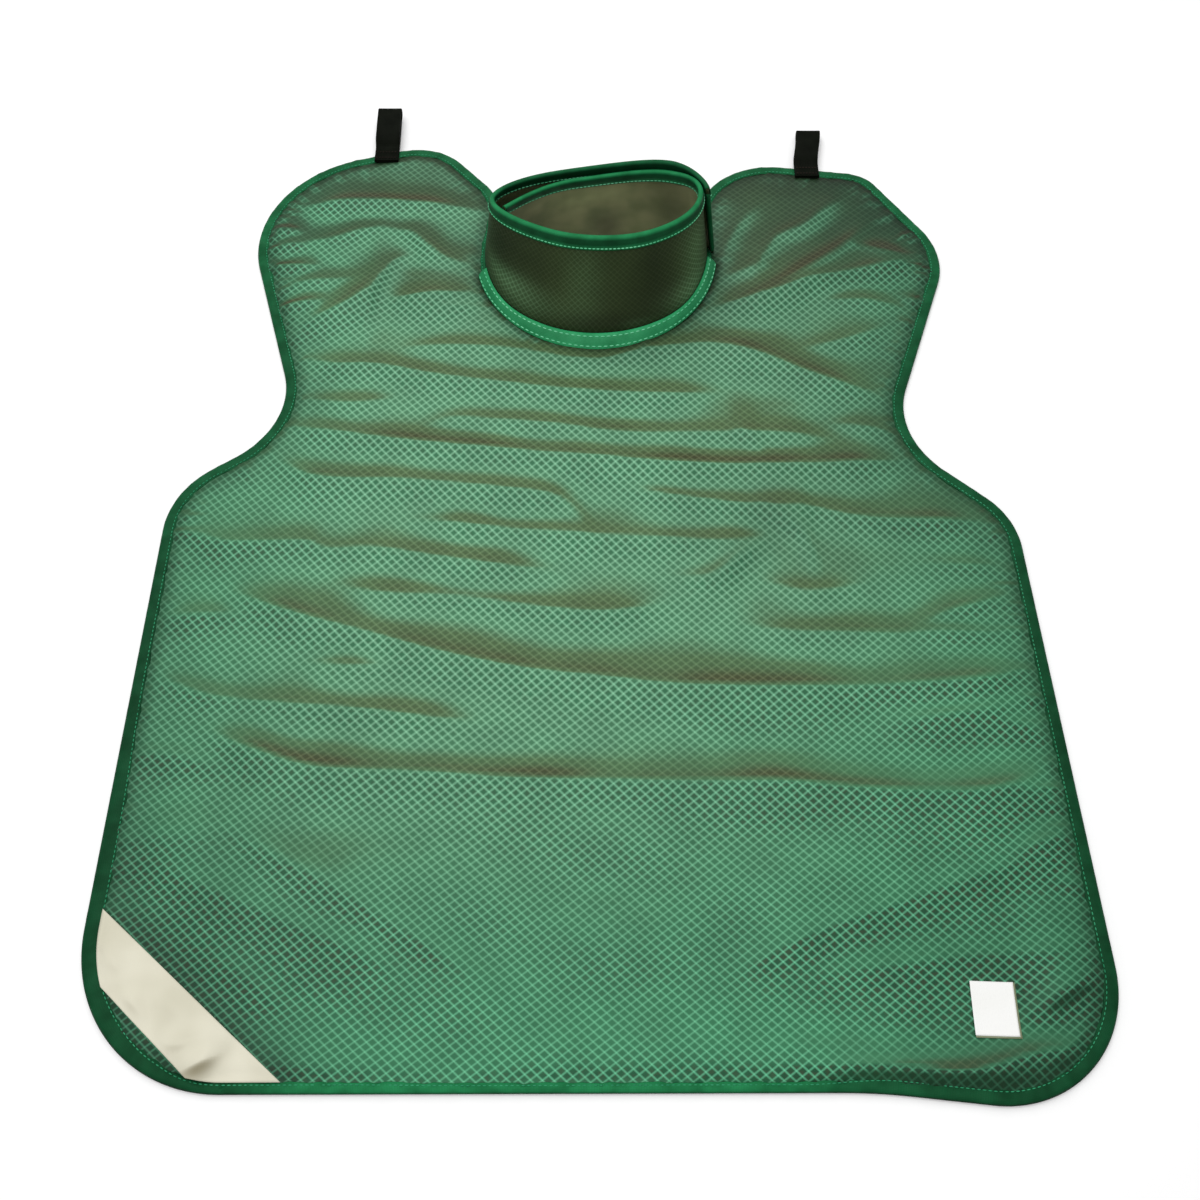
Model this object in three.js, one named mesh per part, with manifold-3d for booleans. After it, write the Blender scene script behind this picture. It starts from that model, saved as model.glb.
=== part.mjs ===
// A lead x-ray apron for a dental patient, lying on its back on a table with its collar closed.
// Millimetres: x runs across the apron, d runs up it from the hem, and z rises from the table.

import * as THREE from 'three';
import { mergeVertices } from 'three/addons/utils/BufferGeometryUtils.js';
import Module from 'manifold-3d';

const wasm = await Module();
wasm.setup();

// Driving dimensions of the sewn panel
const GAP = 0.3; // between pieces that are sewn together
const PANEL_WALL = 3; // nylon cover, lead vinyl core and backing
const TONGUE = { low: 1.3, high: 2.3 }; // the panel's thinned edge, inside the binding
const TONGUE_LAP = 2; // the tongue runs this far into the full panel
const BINDING = { width: 9, tape: 0.9, low: 0.1, high: 3.6 };
const EDGE_FLAT = 16; // no fold comes nearer to the edge than this
const EDGE_FULL = 50; // folds have their full height this far in
const FOLD_FAR_SIDE = 0.62; // a fold is steeper on the side away from the hem
const FOLD_FADE = 0.3; // share of a fold's length over which each end dies away
const ARC_STEP = 15; // longest facet on a round stretch of the edge
const PANEL_CELLS = { across: 21, along: 70 };
const PANEL_MARGIN = 4; // the rippled sheet is cut from this much more cloth
const CUT_DEPTH = 60; // cutting prisms reach well past the folds
const CUT_PAST = 1; // a folded tape's channel is cut this far past its open side

// The edge is a belt laid clockwise round these circles; it passes outside a round one and
// inside a hollow one. The right shoulder lies a little lower than the left.
const EDGE = [
  { name: 'hem_left', x: -207, d: 93, r: 94 },
  { name: 'body_left', x: -239, d: 378, r: 65 },
  { name: 'armhole_left', x: -304, d: 500, r: 72, hollow: true },
  { name: 'shoulder_left', x: -169, d: 664, r: 105 },
  { name: 'crest_left', x: -150, d: 727, r: 50 },
  { name: 'inner_left', x: -131, d: 697, r: 55 },
  { name: 'neck', x: 5, d: 646, r: 86, hollow: true },
  { name: 'inner_right', x: 156, d: 689, r: 66 },
  { name: 'crest_right', x: 217, d: 716, r: 31 },
  { name: 'shoulder_right', x: 214, d: 642, r: 72 },
  { name: 'armhole_right', x: 308, d: 482, r: 71, hollow: true },
  { name: 'body_right', x: 245, d: 362, r: 60 },
  { name: 'hem_right', x: 232, d: 69, r: 76 },
  { name: 'hem_dip', x: 140, d: -400, r: 400, hollow: true },
];

// Each fold's crest runs from (x1, d1) to (x2, d2), bowed sideways at its middle by bow. It
// stands high above the table, and wide is its reach on the gentle side, towards the hem.
const FOLDS = [
  { x1: -235, d1: 673, x2: -146, d2: 683, bow: 3, high: 4, wide: 26 },
  { x1: -158, d1: 686, x2: -98, d2: 632, bow: 3, high: 5, wide: 24 },
  { x1: -236, d1: 580, x2: -150, d2: 648, bow: -8, high: 5.5, wide: 26 },
  { x1: -150, d1: 618, x2: -92, d2: 590, bow: 0, high: 4, wide: 20 },
  { x1: 104, d1: 632, x2: 206, d2: 700, bow: 0, high: 5, wide: 24 },
  { x1: 104, d1: 600, x2: 262, d2: 632, bow: -4, high: 5, wide: 24 },
  { x1: 88, d1: 552, x2: 226, d2: 506, bow: 3, high: 6, wide: 28 },
  { x1: -190, d1: 545, x2: -70, d2: 547, bow: 0, high: 3, wide: 18 },
  { x1: -222, d1: 533, x2: 100, d2: 494, bow: -5, high: 6, wide: 26 },
  { x1: -216, d1: 492, x2: -100, d2: 494, bow: 0, high: 2.5, wide: 18 },
  { x1: -155, d1: 477, x2: 194, d2: 454, bow: -2, high: 4, wide: 20 },
  { x1: -232, d1: 464, x2: 236, d2: 432, bow: -9, high: 6.5, wide: 26 },
  { x1: -236, d1: 426, x2: 8, d2: 391, bow: 6, high: 5, wide: 24 },
  { x1: 6, d1: 418, x2: 250, d2: 391, bow: -8, high: 5, wide: 24 },
  { x1: 110, d1: 398, x2: 162, d2: 342, bow: 4, high: 4, wide: 18 },
  { x1: -140, d1: 378, x2: 186, d2: 364, bow: -4, high: 4, wide: 22 },
  { x1: -240, d1: 361, x2: 4, d2: 335, bow: 1, high: 3.5, wide: 20 },
  { x1: -184, d1: 328, x2: 64, d2: 311, bow: -3, high: 4.5, wide: 22 },
  { x1: -272, d1: 322, x2: 296, d2: 258, bow: -35, high: 7.5, wide: 32 },
  { x1: 100, d1: 290, x2: 276, d2: 294, bow: 0, high: 2.5, wide: 20 },
  { x1: -288, d1: 252, x2: -44, d2: 236, bow: -2, high: 3, wide: 20 },
  { x1: 104, d1: 206, x2: 294, d2: 228, bow: -3, high: 3, wide: 22 },
  { x1: -262, d1: 208, x2: 296, d2: 177, bow: -10, high: 6, wide: 28 },
  { x1: -245, d1: 163, x2: 170, d2: 160, bow: 0, high: 2, wide: 20 },
  { x1: -284, d1: 134, x2: -135, d2: 72, bow: -3, high: 2, wide: 18 },
  { x1: 84, d1: 70, x2: 254, d2: 112, bow: -2, high: 3, wide: 22 },
];

// Driving dimensions of the collar: a band wound once round the neck and overlapped at the back.
// Angles are degrees seen from above, 0 at the wearer's left, -90 at the throat.
const COLLAR_WALL = 2.4;
const COLLAR_LAYERS = 5.4; // from one layer of the overlap to the next
const COLLAR_STEP = 7.5;
const OVAL_STEP = 0.01; // radians, for the direction along an oval
const COLLAR_TURN = { start: 150, end: -360 };
const LAYERS_CROSS = 40; // over this last stretch the inner layer moves out and the outer one too
const INNER_TUCK = { aside: 8, from: 95, to: 150 }; // the inner end is pushed further in
const COLLAR_BASE = { x: 5, d: 650, wide: 90, front: 97, rear: 26, turned: 0, throat: 0, nape: 0 };
const COLLAR_RIM = { x: 5, d: 636.5, wide: 80, front: 51, rear: 23.5, turned: 4, throat: -0.35, nape: 1.1 };
const COLLAR_RIM_HEIGHT = { front: 79, rear: 75 };
const FLAP_RISE = { high: 5, from: [175, 250], to: [318, 352] }; // the outer layer behind stands taller
const COLLAR_FOOT = { sewn: BINDING.high + GAP, free: GAP, from: 664, to: 673 };
const COLLAR_ROWS = 3;
const WHOLE_DROP = 1000; // more than the collar's height: a drop that ends at its foot
const RIM_BINDING = { width: 8, tape: 0.7 };
const NECK_TAPE = { thick: 1.2, reach: 6, rise: 9, from: -7.5, to: -165 };
const CLOSURE = { from: 120, to: 60, top: 24, bottom: 58 };

// Driving dimensions of the small pieces
const LOOP = { width: 20.5, thick: 1.3, base: 13, slot: 5.4, clear: 5, slope: 12, steps: 30 };
const LOOP_TIP = 4 / 3; // how far the tip's curve is drawn out, in tip radii
const LOOPS = [
  { side: 'left', x: -176, length: 50.5, lift: 4, lean: -1 },
  { side: 'right', x: 186, length: 45.5, lift: GAP, lean: 5.5 },
];
const PATCH = { thick: 0.8, inset: BINDING.width + 0.8, overrun: 0.6 };
const PATCH_TOP = { x1: -292, d1: 104, x2: -175, d2: 7 }; // upper edge of the slanted strip
const PATCH_FOOT = { x1: -282, d1: 56, x2: -228, d2: 9 }; // lower edge
const TAG = { x: 234, d: 46, width: 29, height: 33, thick: 0.5, turn: -2 };

// Colours and finish
const FINISH = {
  nylon: { color: 0x4e8668, roughness: 0.5, metalness: 0 },
  tape: { color: 0x1f7a52, roughness: 0.45, metalness: 0 },
  collar: { color: 0x33452f, roughness: 0.5, metalness: 0 },
  webbing: { color: 0x151512, roughness: 0.85, metalness: 0 },
  satin: { color: 0xd9d2bd, roughness: 0.4, metalness: 0 },
  paper: { color: 0xf4f4f2, roughness: 0.5, metalness: 0 },
  hook: { color: 0x20241f, roughness: 0.95, metalness: 0 },
};

// Helpers for closed meshes and for joining and cutting them
function closedMesh(geometry) {
  geometry.deleteAttribute('normal');
  geometry.deleteAttribute('uv');
  return mergeVertices(geometry);
}

function solidOf(geometry) {
  const closed = closedMesh(geometry);
  const vertProperties = new Float32Array(closed.attributes.position.array);
  const triVerts = new Uint32Array(closed.index.array);
  return new wasm.Manifold(new wasm.Mesh({ numProp: 3, vertProperties, triVerts }));
}

function geometryOf(solid) {
  const mesh = solid.getMesh();
  const geometry = new THREE.BufferGeometry();
  geometry.setAttribute('position', new THREE.BufferAttribute(mesh.vertProperties, 3));
  geometry.setIndex(new THREE.BufferAttribute(mesh.triVerts, 1));
  return geometry;
}

// A box of cells whose corners (u, v, w), each 0 to 1, are placed by a function.
function bentBox(cellsU, cellsV, cellsW, place) {
  const geometry = new THREE.BoxGeometry(1, 1, 1, cellsU, cellsV, cellsW);
  const position = geometry.attributes.position;
  for (let i = 0; i < position.count; i += 1) {
    const corner = place(position.getX(i) + 0.5, position.getY(i) + 0.5, position.getZ(i) + 0.5);
    position.setXYZ(i, corner.x, corner.y, corner.z);
  }
  return geometry;
}

function prism(outline, low, high, hole) {
  const shape = new THREE.Shape(outline);
  if (hole) shape.holes.push(new THREE.Path(hole.toReversed()));
  const geometry = new THREE.ExtrudeGeometry(shape, { depth: high - low, bevelEnabled: false });
  return geometry.translate(0, 0, low);
}

// The apron's edge, moved in by inset
function straightRun(from, to) {
  const along = to.centre.clone().sub(from.centre);
  const distance = along.length();
  along.normalize();
  const outside = new THREE.Vector2(-along.y, along.x);
  const lean = (from.reach - to.reach) / distance;
  const spoke = outside.multiplyScalar(Math.sqrt(1 - lean * lean)).addScaledVector(along, lean);
  return {
    start: from.centre.clone().addScaledVector(spoke, from.reach),
    end: to.centre.clone().addScaledVector(spoke, to.reach),
  };
}

function edgeOutline(inset) {
  const circles = EDGE.map(({ x, d, r, hollow }) => ({
    centre: new THREE.Vector2(x, d),
    radius: r,
    reach: (hollow ? -r : r) - inset,
    way: hollow ? 1 : -1,
  }));
  const runs = circles.map((circle, i) => straightRun(circle, circles[(i + 1) % circles.length]));
  const points = [];
  circles.forEach(({ centre, radius, reach, way }, i) => {
    const arrive = runs.at(i - 1).end.clone().sub(centre).angle();
    const leave = runs[i].start.clone().sub(centre).angle();
    const turn = THREE.MathUtils.euclideanModulo(way * (leave - arrive), 2 * Math.PI);
    const steps = Math.max(2, Math.ceil((turn * radius) / ARC_STEP));
    for (let k = 0; k <= steps; k += 1) {
      const angle = arrive + (way * turn * k) / steps;
      const spoke = new THREE.Vector2(Math.cos(angle), Math.sin(angle));
      points.push(centre.clone().addScaledVector(spoke, Math.abs(reach)));
    }
  });
  return points;
}

const edge = edgeOutline(0);
const edgeLines = edge.map((point, i) => {
  const next = edge[(i + 1) % edge.length];
  return new THREE.Line3(new THREE.Vector3(point.x, point.y), new THREE.Vector3(next.x, next.y));
});

function edgeDistance(x, d) {
  const point = new THREE.Vector3(x, d);
  const nearest = new THREE.Vector3();
  const distances = edgeLines.map((line) => {
    line.closestPointToPoint(point, true, nearest);
    return nearest.distanceTo(point);
  });
  return Math.min(...distances);
}

// Height of the edge's farthest crossing at x, which is the top of a shoulder
function shoulderTop(x) {
  const crossings = edgeLines
    .filter(({ start, end }) => (start.x - x) * (end.x - x) <= 0 && start.x !== end.x)
    .map(({ start, end }) => THREE.MathUtils.mapLinear(x, start.x, end.x, start.y, end.y));
  return Math.max(...crossings);
}

// Height of the cloth above the table
function foldHeight(x, d) {
  const sum = FOLDS.reduce((total, { x1, d1, x2, d2, bow, high, wide }) => {
    const length = Math.hypot(x2 - x1, d2 - d1);
    const along = ((x - x1) * (x2 - x1) + (d - d1) * (d2 - d1)) / (length * length);
    if (along <= 0 || along >= 1) return total;
    const aside = ((d - d1) * (x2 - x1) - (x - x1) * (d2 - d1)) / length;
    const offCrest = aside - 4 * bow * along * (1 - along);
    const share = Math.abs(offCrest) / (offCrest > 0 ? wide * FOLD_FAR_SIDE : wide);
    if (share >= 1) return total;
    const dying = THREE.MathUtils.smoothstep(Math.min(along, 1 - along), 0, FOLD_FADE);
    return total + high * dying * Math.cos((share * Math.PI) / 2) ** 2;
  }, 0);
  return sum * THREE.MathUtils.smoothstep(edgeDistance(x, d), EDGE_FLAT, EDGE_FULL);
}

// The panel: a rippled sheet cut to the edge, with a thin flat tongue that the binding wraps
function apronPanel() {
  const box = new THREE.Box2().setFromPoints(edge).expandByScalar(PANEL_MARGIN);
  const rippled = bentBox(PANEL_CELLS.across, PANEL_CELLS.along, 1, (u, v, w) => {
    const x = THREE.MathUtils.lerp(box.min.x, box.max.x, u);
    const d = THREE.MathUtils.lerp(box.min.y, box.max.y, v);
    return new THREE.Vector3(x, d, foldHeight(x, d) + w * PANEL_WALL);
  });
  const cutter = prism(edgeOutline(BINDING.width + GAP), -CUT_DEPTH, CUT_DEPTH);
  const tongueOutside = edgeOutline(BINDING.tape + GAP);
  const tongueInside = edgeOutline(BINDING.width + TONGUE_LAP);
  const tongue = prism(tongueOutside, TONGUE.low, TONGUE.high, tongueInside);
  return geometryOf(solidOf(rippled).intersect(solidOf(cutter)).add(solidOf(tongue)));
}

// The binding: a folded tape all round, open towards the panel
function edgeBinding() {
  const inside = edgeOutline(BINDING.width);
  const tape = prism(edge, BINDING.low, BINDING.high, inside);
  const low = TONGUE.low - GAP;
  const high = TONGUE.high + GAP;
  const channelInside = edgeOutline(BINDING.width + CUT_PAST);
  const channel = prism(edgeOutline(BINDING.tape), low, high, channelInside);
  return geometryOf(solidOf(tape).subtract(solidOf(channel)));
}

// The collar's middle surface: an oval at the foot and a smaller one at the rim. The throat's
// left half may be fuller or flatter than an ellipse, and the nape's right half too.
function ovalEdge({ wide, front, rear, throat, nape }, angle) {
  const rightward = (1 + Math.cos(angle)) / 2;
  const before = front * (1 + throat * (1 - rightward) ** 3);
  const behind = rear * (1 + nape * rightward ** 3);
  const depth = Math.sin(angle) < 0 ? before : behind;
  return new THREE.Vector2(wide * Math.cos(angle), depth * Math.sin(angle));
}

function ovalPoint(oval, angle, out) {
  const point = ovalEdge(oval, angle);
  const along = ovalEdge(oval, angle + OVAL_STEP).sub(ovalEdge(oval, angle - OVAL_STEP)).normalize();
  point.addScaledVector(new THREE.Vector2(along.y, -along.x), out);
  point.rotateAround(new THREE.Vector2(), THREE.MathUtils.degToRad(oval.turned));
  return point.add(new THREE.Vector2(oval.x, oval.d));
}

function layerOffset(degrees) {
  if (degrees > 0) {
    const tuck = INNER_TUCK.aside * THREE.MathUtils.smoothstep(degrees, INNER_TUCK.from, INNER_TUCK.to);
    return -COLLAR_LAYERS * THREE.MathUtils.smoothstep(degrees, 0, LAYERS_CROSS) - tuck;
  }
  const beyond = LAYERS_CROSS - 360 - degrees;
  return COLLAR_LAYERS * THREE.MathUtils.smoothstep(beyond, 0, LAYERS_CROSS);
}

// A point of the collar: degrees round it, drop below the rim, out from the middle of its wall
function collarPoint(degrees, drop, out) {
  const angle = THREE.MathUtils.degToRad(degrees);
  const aside = layerOffset(degrees) + out;
  const foot = ovalPoint(COLLAR_BASE, angle, aside);
  const rim = ovalPoint(COLLAR_RIM, angle, aside);
  const { sewn, free, from, to } = COLLAR_FOOT;
  const footHeight = THREE.MathUtils.lerp(sewn, free, THREE.MathUtils.smoothstep(foot.y, from, to));
  const { front, rear } = COLLAR_RIM_HEIGHT;
  const rimHeight = THREE.MathUtils.lerp(front, rear, (1 + Math.sin(angle)) / 2);
  const risen = THREE.MathUtils.smoothstep(-degrees, ...FLAP_RISE.from);
  const sunk = THREE.MathUtils.smoothstep(-degrees, ...FLAP_RISE.to);
  const top = new THREE.Vector3(rim.x, rim.y, rimHeight + FLAP_RISE.high * (risen - sunk));
  const bottom = new THREE.Vector3(foot.x, foot.y, footHeight);
  const slant = top.distanceTo(bottom);
  return top.lerp(bottom, Math.min(drop / slant, 1));
}

function collarStrip({ start, end }, drops, thick, out = 0) {
  const cells = Math.round((start - end) / COLLAR_STEP);
  return bentBox(cells, drops.length - 1, 1, (u, v, w) => {
    const drop = drops[Math.round(v * (drops.length - 1))];
    return collarPoint(THREE.MathUtils.lerp(start, end, u), drop, out + (0.5 - w) * thick);
  });
}

function collarBand() {
  const height = COLLAR_RIM_HEIGHT.rear;
  const drops = Array.from({ length: COLLAR_ROWS }, (_, row) => (height * row) / COLLAR_ROWS);
  return collarStrip(COLLAR_TURN, [...drops, WHOLE_DROP].reverse(), COLLAR_WALL);
}

// The rim's binding: a folded tape over the collar's upper edge, open downwards
function collarBinding() {
  const { width, tape } = RIM_BINDING;
  const inside = COLLAR_WALL + 2 * GAP;
  const outer = collarStrip(COLLAR_TURN, [width, -GAP - tape], inside + 2 * tape);
  const past = { start: COLLAR_TURN.start + COLLAR_STEP, end: COLLAR_TURN.end - COLLAR_STEP };
  const channel = collarStrip(past, [width + CUT_PAST, -GAP], inside);
  return geometryOf(solidOf(outer).subtract(solidOf(channel)));
}

// The neck tape: a slanting strip that covers the seam between panel and collar
function neckTape() {
  const { thick, reach, rise, from, to } = NECK_TAPE;
  const wall = COLLAR_WALL / 2;
  const cells = Math.round((from - to) / COLLAR_STEP);
  return bentBox(cells, 1, 1, (u, v, w) => {
    const degrees = THREE.MathUtils.lerp(from, to, u);
    const angle = THREE.MathUtils.degToRad(degrees);
    const aside = (1 - w) * thick;
    if (v === 0) {
      const foot = ovalPoint(COLLAR_BASE, angle, wall + GAP + reach - thick + aside);
      return new THREE.Vector3(foot.x, foot.y, COLLAR_FOOT.sewn);
    }
    const height = collarPoint(degrees, WHOLE_DROP, 0).distanceTo(collarPoint(degrees, 0, 0));
    return collarPoint(degrees, height - rise, wall + GAP + aside);
  });
}

// The hidden fastening pad between the two layers at the back
function collarClosure() {
  const thick = COLLAR_LAYERS - COLLAR_WALL - 2 * GAP;
  const turn = { start: CLOSURE.from, end: CLOSURE.to };
  return collarStrip(turn, [CLOSURE.bottom, CLOSURE.top], thick, COLLAR_LAYERS / 2);
}

// A hanging loop: webbing sewn double on the binding, with an open slot beyond the edge
function hangingLoop({ x, length, lift, lean }) {
  const { width, thick, base, slot, clear, slope, steps } = LOOP;
  const top = shoulderTop(x);
  const lowFoot = BINDING.high + GAP + thick / 2;
  const highFoot = lowFoot + thick + GAP;
  const low = lift + thick / 2;
  const round = (slot + thick) / 2;
  const high = low + 2 * round;
  const tip = top + length - round - thick / 2;
  const path = new THREE.CurvePath();
  const at = (d, z) => new THREE.Vector3(0, d, z);
  const ease = (d1, z1, d2, z2) => {
    const half = (d1 + d2) / 2;
    return new THREE.CubicBezierCurve3(at(d1, z1), at(half, z1), at(half, z2), at(d2, z2));
  };
  const drawn = tip + LOOP_TIP * round;
  const bend = [at(tip, low), at(drawn, low), at(drawn, high), at(tip, high)];
  path.add(new THREE.LineCurve3(at(top - base, lowFoot), at(top + clear, lowFoot)));
  path.add(ease(top + clear, lowFoot, top + clear + slope, low));
  path.add(new THREE.LineCurve3(at(top + clear + slope, low), at(tip, low)));
  path.add(new THREE.CubicBezierCurve3(...bend));
  path.add(new THREE.LineCurve3(at(tip, high), at(top + slope, high)));
  path.add(ease(top + slope, high, top, highFoot));
  path.add(new THREE.LineCurve3(at(top, highFoot), at(top - base, highFoot)));
  return bentBox(steps, 1, 1, (u, v, w) => {
    const middle = path.getPointAt(u);
    const along = path.getTangentAt(u);
    const outward = new THREE.Vector3(0, along.z, -along.y);
    const aside = lean * THREE.MathUtils.smoothstep(middle.y, top, top + length);
    return middle.addScaledVector(outward, (0.5 - v) * thick).setX(x + aside + (w - 0.5) * width);
  });
}

// The corner patch: a slanted strip of satin, trimmed along the binding
function cornerPatch() {
  const low = PANEL_WALL + GAP;
  const run = (line, share) =>
    new THREE.Vector2(
      THREE.MathUtils.lerp(line.x1, line.x2, share),
      THREE.MathUtils.lerp(line.d1, line.d2, share),
    );
  const from = -PATCH.overrun;
  const to = 1 + PATCH.overrun;
  const upper = [run(PATCH_TOP, from), run(PATCH_TOP, to)];
  const strip = [...upper, run(PATCH_FOOT, to), run(PATCH_FOOT, from)];
  const sheet = solidOf(prism(strip, low, low + PATCH.thick));
  return geometryOf(sheet.intersect(solidOf(prism(edgeOutline(PATCH.inset), 0, CUT_DEPTH))));
}

function tag() {
  const geometry = new THREE.BoxGeometry(TAG.width, TAG.height, TAG.thick);
  geometry.rotateZ(THREE.MathUtils.degToRad(TAG.turn));
  return geometry.translate(TAG.x, TAG.d, PANEL_WALL + GAP + TAG.thick / 2);
}

// The apron, moved so that its origin is on the table under the middle of its box
const apron = new THREE.Group();

function addPiece(name, geometry, finish) {
  const mesh = new THREE.Mesh(geometry, new THREE.MeshStandardMaterial(finish));
  mesh.name = name;
  apron.add(mesh);
}

addPiece('apron_panel', apronPanel(), FINISH.nylon);
addPiece('edge_binding', edgeBinding(), FINISH.tape);
addPiece('collar_band', collarBand(), FINISH.collar);
addPiece('collar_binding', collarBinding(), FINISH.tape);
addPiece('neck_tape', neckTape(), FINISH.tape);
addPiece('collar_closure', collarClosure(), FINISH.hook);
LOOPS.forEach((loop) => addPiece(`hanging_loop_${loop.side}`, hangingLoop(loop), FINISH.webbing));
addPiece('corner_patch', cornerPatch(), FINISH.satin);
addPiece('tag', tag(), FINISH.paper);

const middle = new THREE.Box3().setFromObject(apron).getCenter(new THREE.Vector3());
apron.position.set(-middle.x, -middle.y, 0);

export default apron;
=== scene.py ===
"""Looks of the lead x-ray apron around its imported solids: cloth, tapes, stitches and studio."""

import math

import bmesh
import bpy
import numpy as np
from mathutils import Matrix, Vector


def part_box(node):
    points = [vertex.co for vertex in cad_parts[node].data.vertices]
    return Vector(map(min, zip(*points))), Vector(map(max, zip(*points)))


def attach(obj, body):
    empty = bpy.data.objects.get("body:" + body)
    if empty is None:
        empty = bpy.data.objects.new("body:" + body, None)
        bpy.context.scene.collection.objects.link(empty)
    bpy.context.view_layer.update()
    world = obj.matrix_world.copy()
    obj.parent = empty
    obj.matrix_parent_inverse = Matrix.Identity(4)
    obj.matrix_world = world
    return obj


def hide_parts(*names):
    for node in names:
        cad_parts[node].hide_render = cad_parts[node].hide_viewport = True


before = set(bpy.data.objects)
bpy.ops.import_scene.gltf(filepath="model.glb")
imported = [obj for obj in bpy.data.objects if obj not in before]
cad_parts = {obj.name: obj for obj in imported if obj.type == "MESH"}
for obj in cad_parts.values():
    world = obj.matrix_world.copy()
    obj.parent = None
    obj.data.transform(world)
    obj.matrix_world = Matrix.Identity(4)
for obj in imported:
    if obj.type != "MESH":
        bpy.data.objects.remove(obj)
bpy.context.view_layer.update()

# Sizes and tables are in millimetres: x across the apron, d up it from the hem, z from the table.
MM = 0.001
RANDOM = np.random.default_rng(7)

# The apron's edge: a belt laid clockwise round these circles. A negative radius is a hollow.
EDGE = [
    ("hem_left", -207, 93, 94),
    ("body_left", -239, 378, 65),
    ("armhole_left", -304, 500, -72),
    ("shoulder_left", -169, 664, 105),
    ("crest_left", -150, 727, 50),
    ("inner_left", -131, 697, 55),
    ("neck", 5, 646, -86),
    ("inner_right", 156, 689, 66),
    ("crest_right", 217, 716, 31),
    ("shoulder_right", 214, 642, 72),
    ("armhole_right", 308, 482, -71),
    ("body_right", 245, 362, 60),
    ("hem_right", 232, 69, 76),
    ("hem_dip", 140, -400, -400),
]
EDGE_STEP = 2.6  # between the points that stand for the edge
EDGE_FINE = 0.5  # between the points that it is first drawn with
SHARE_OF_POINTS = 4000  # so many at a time are measured against the edge, to save memory

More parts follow.
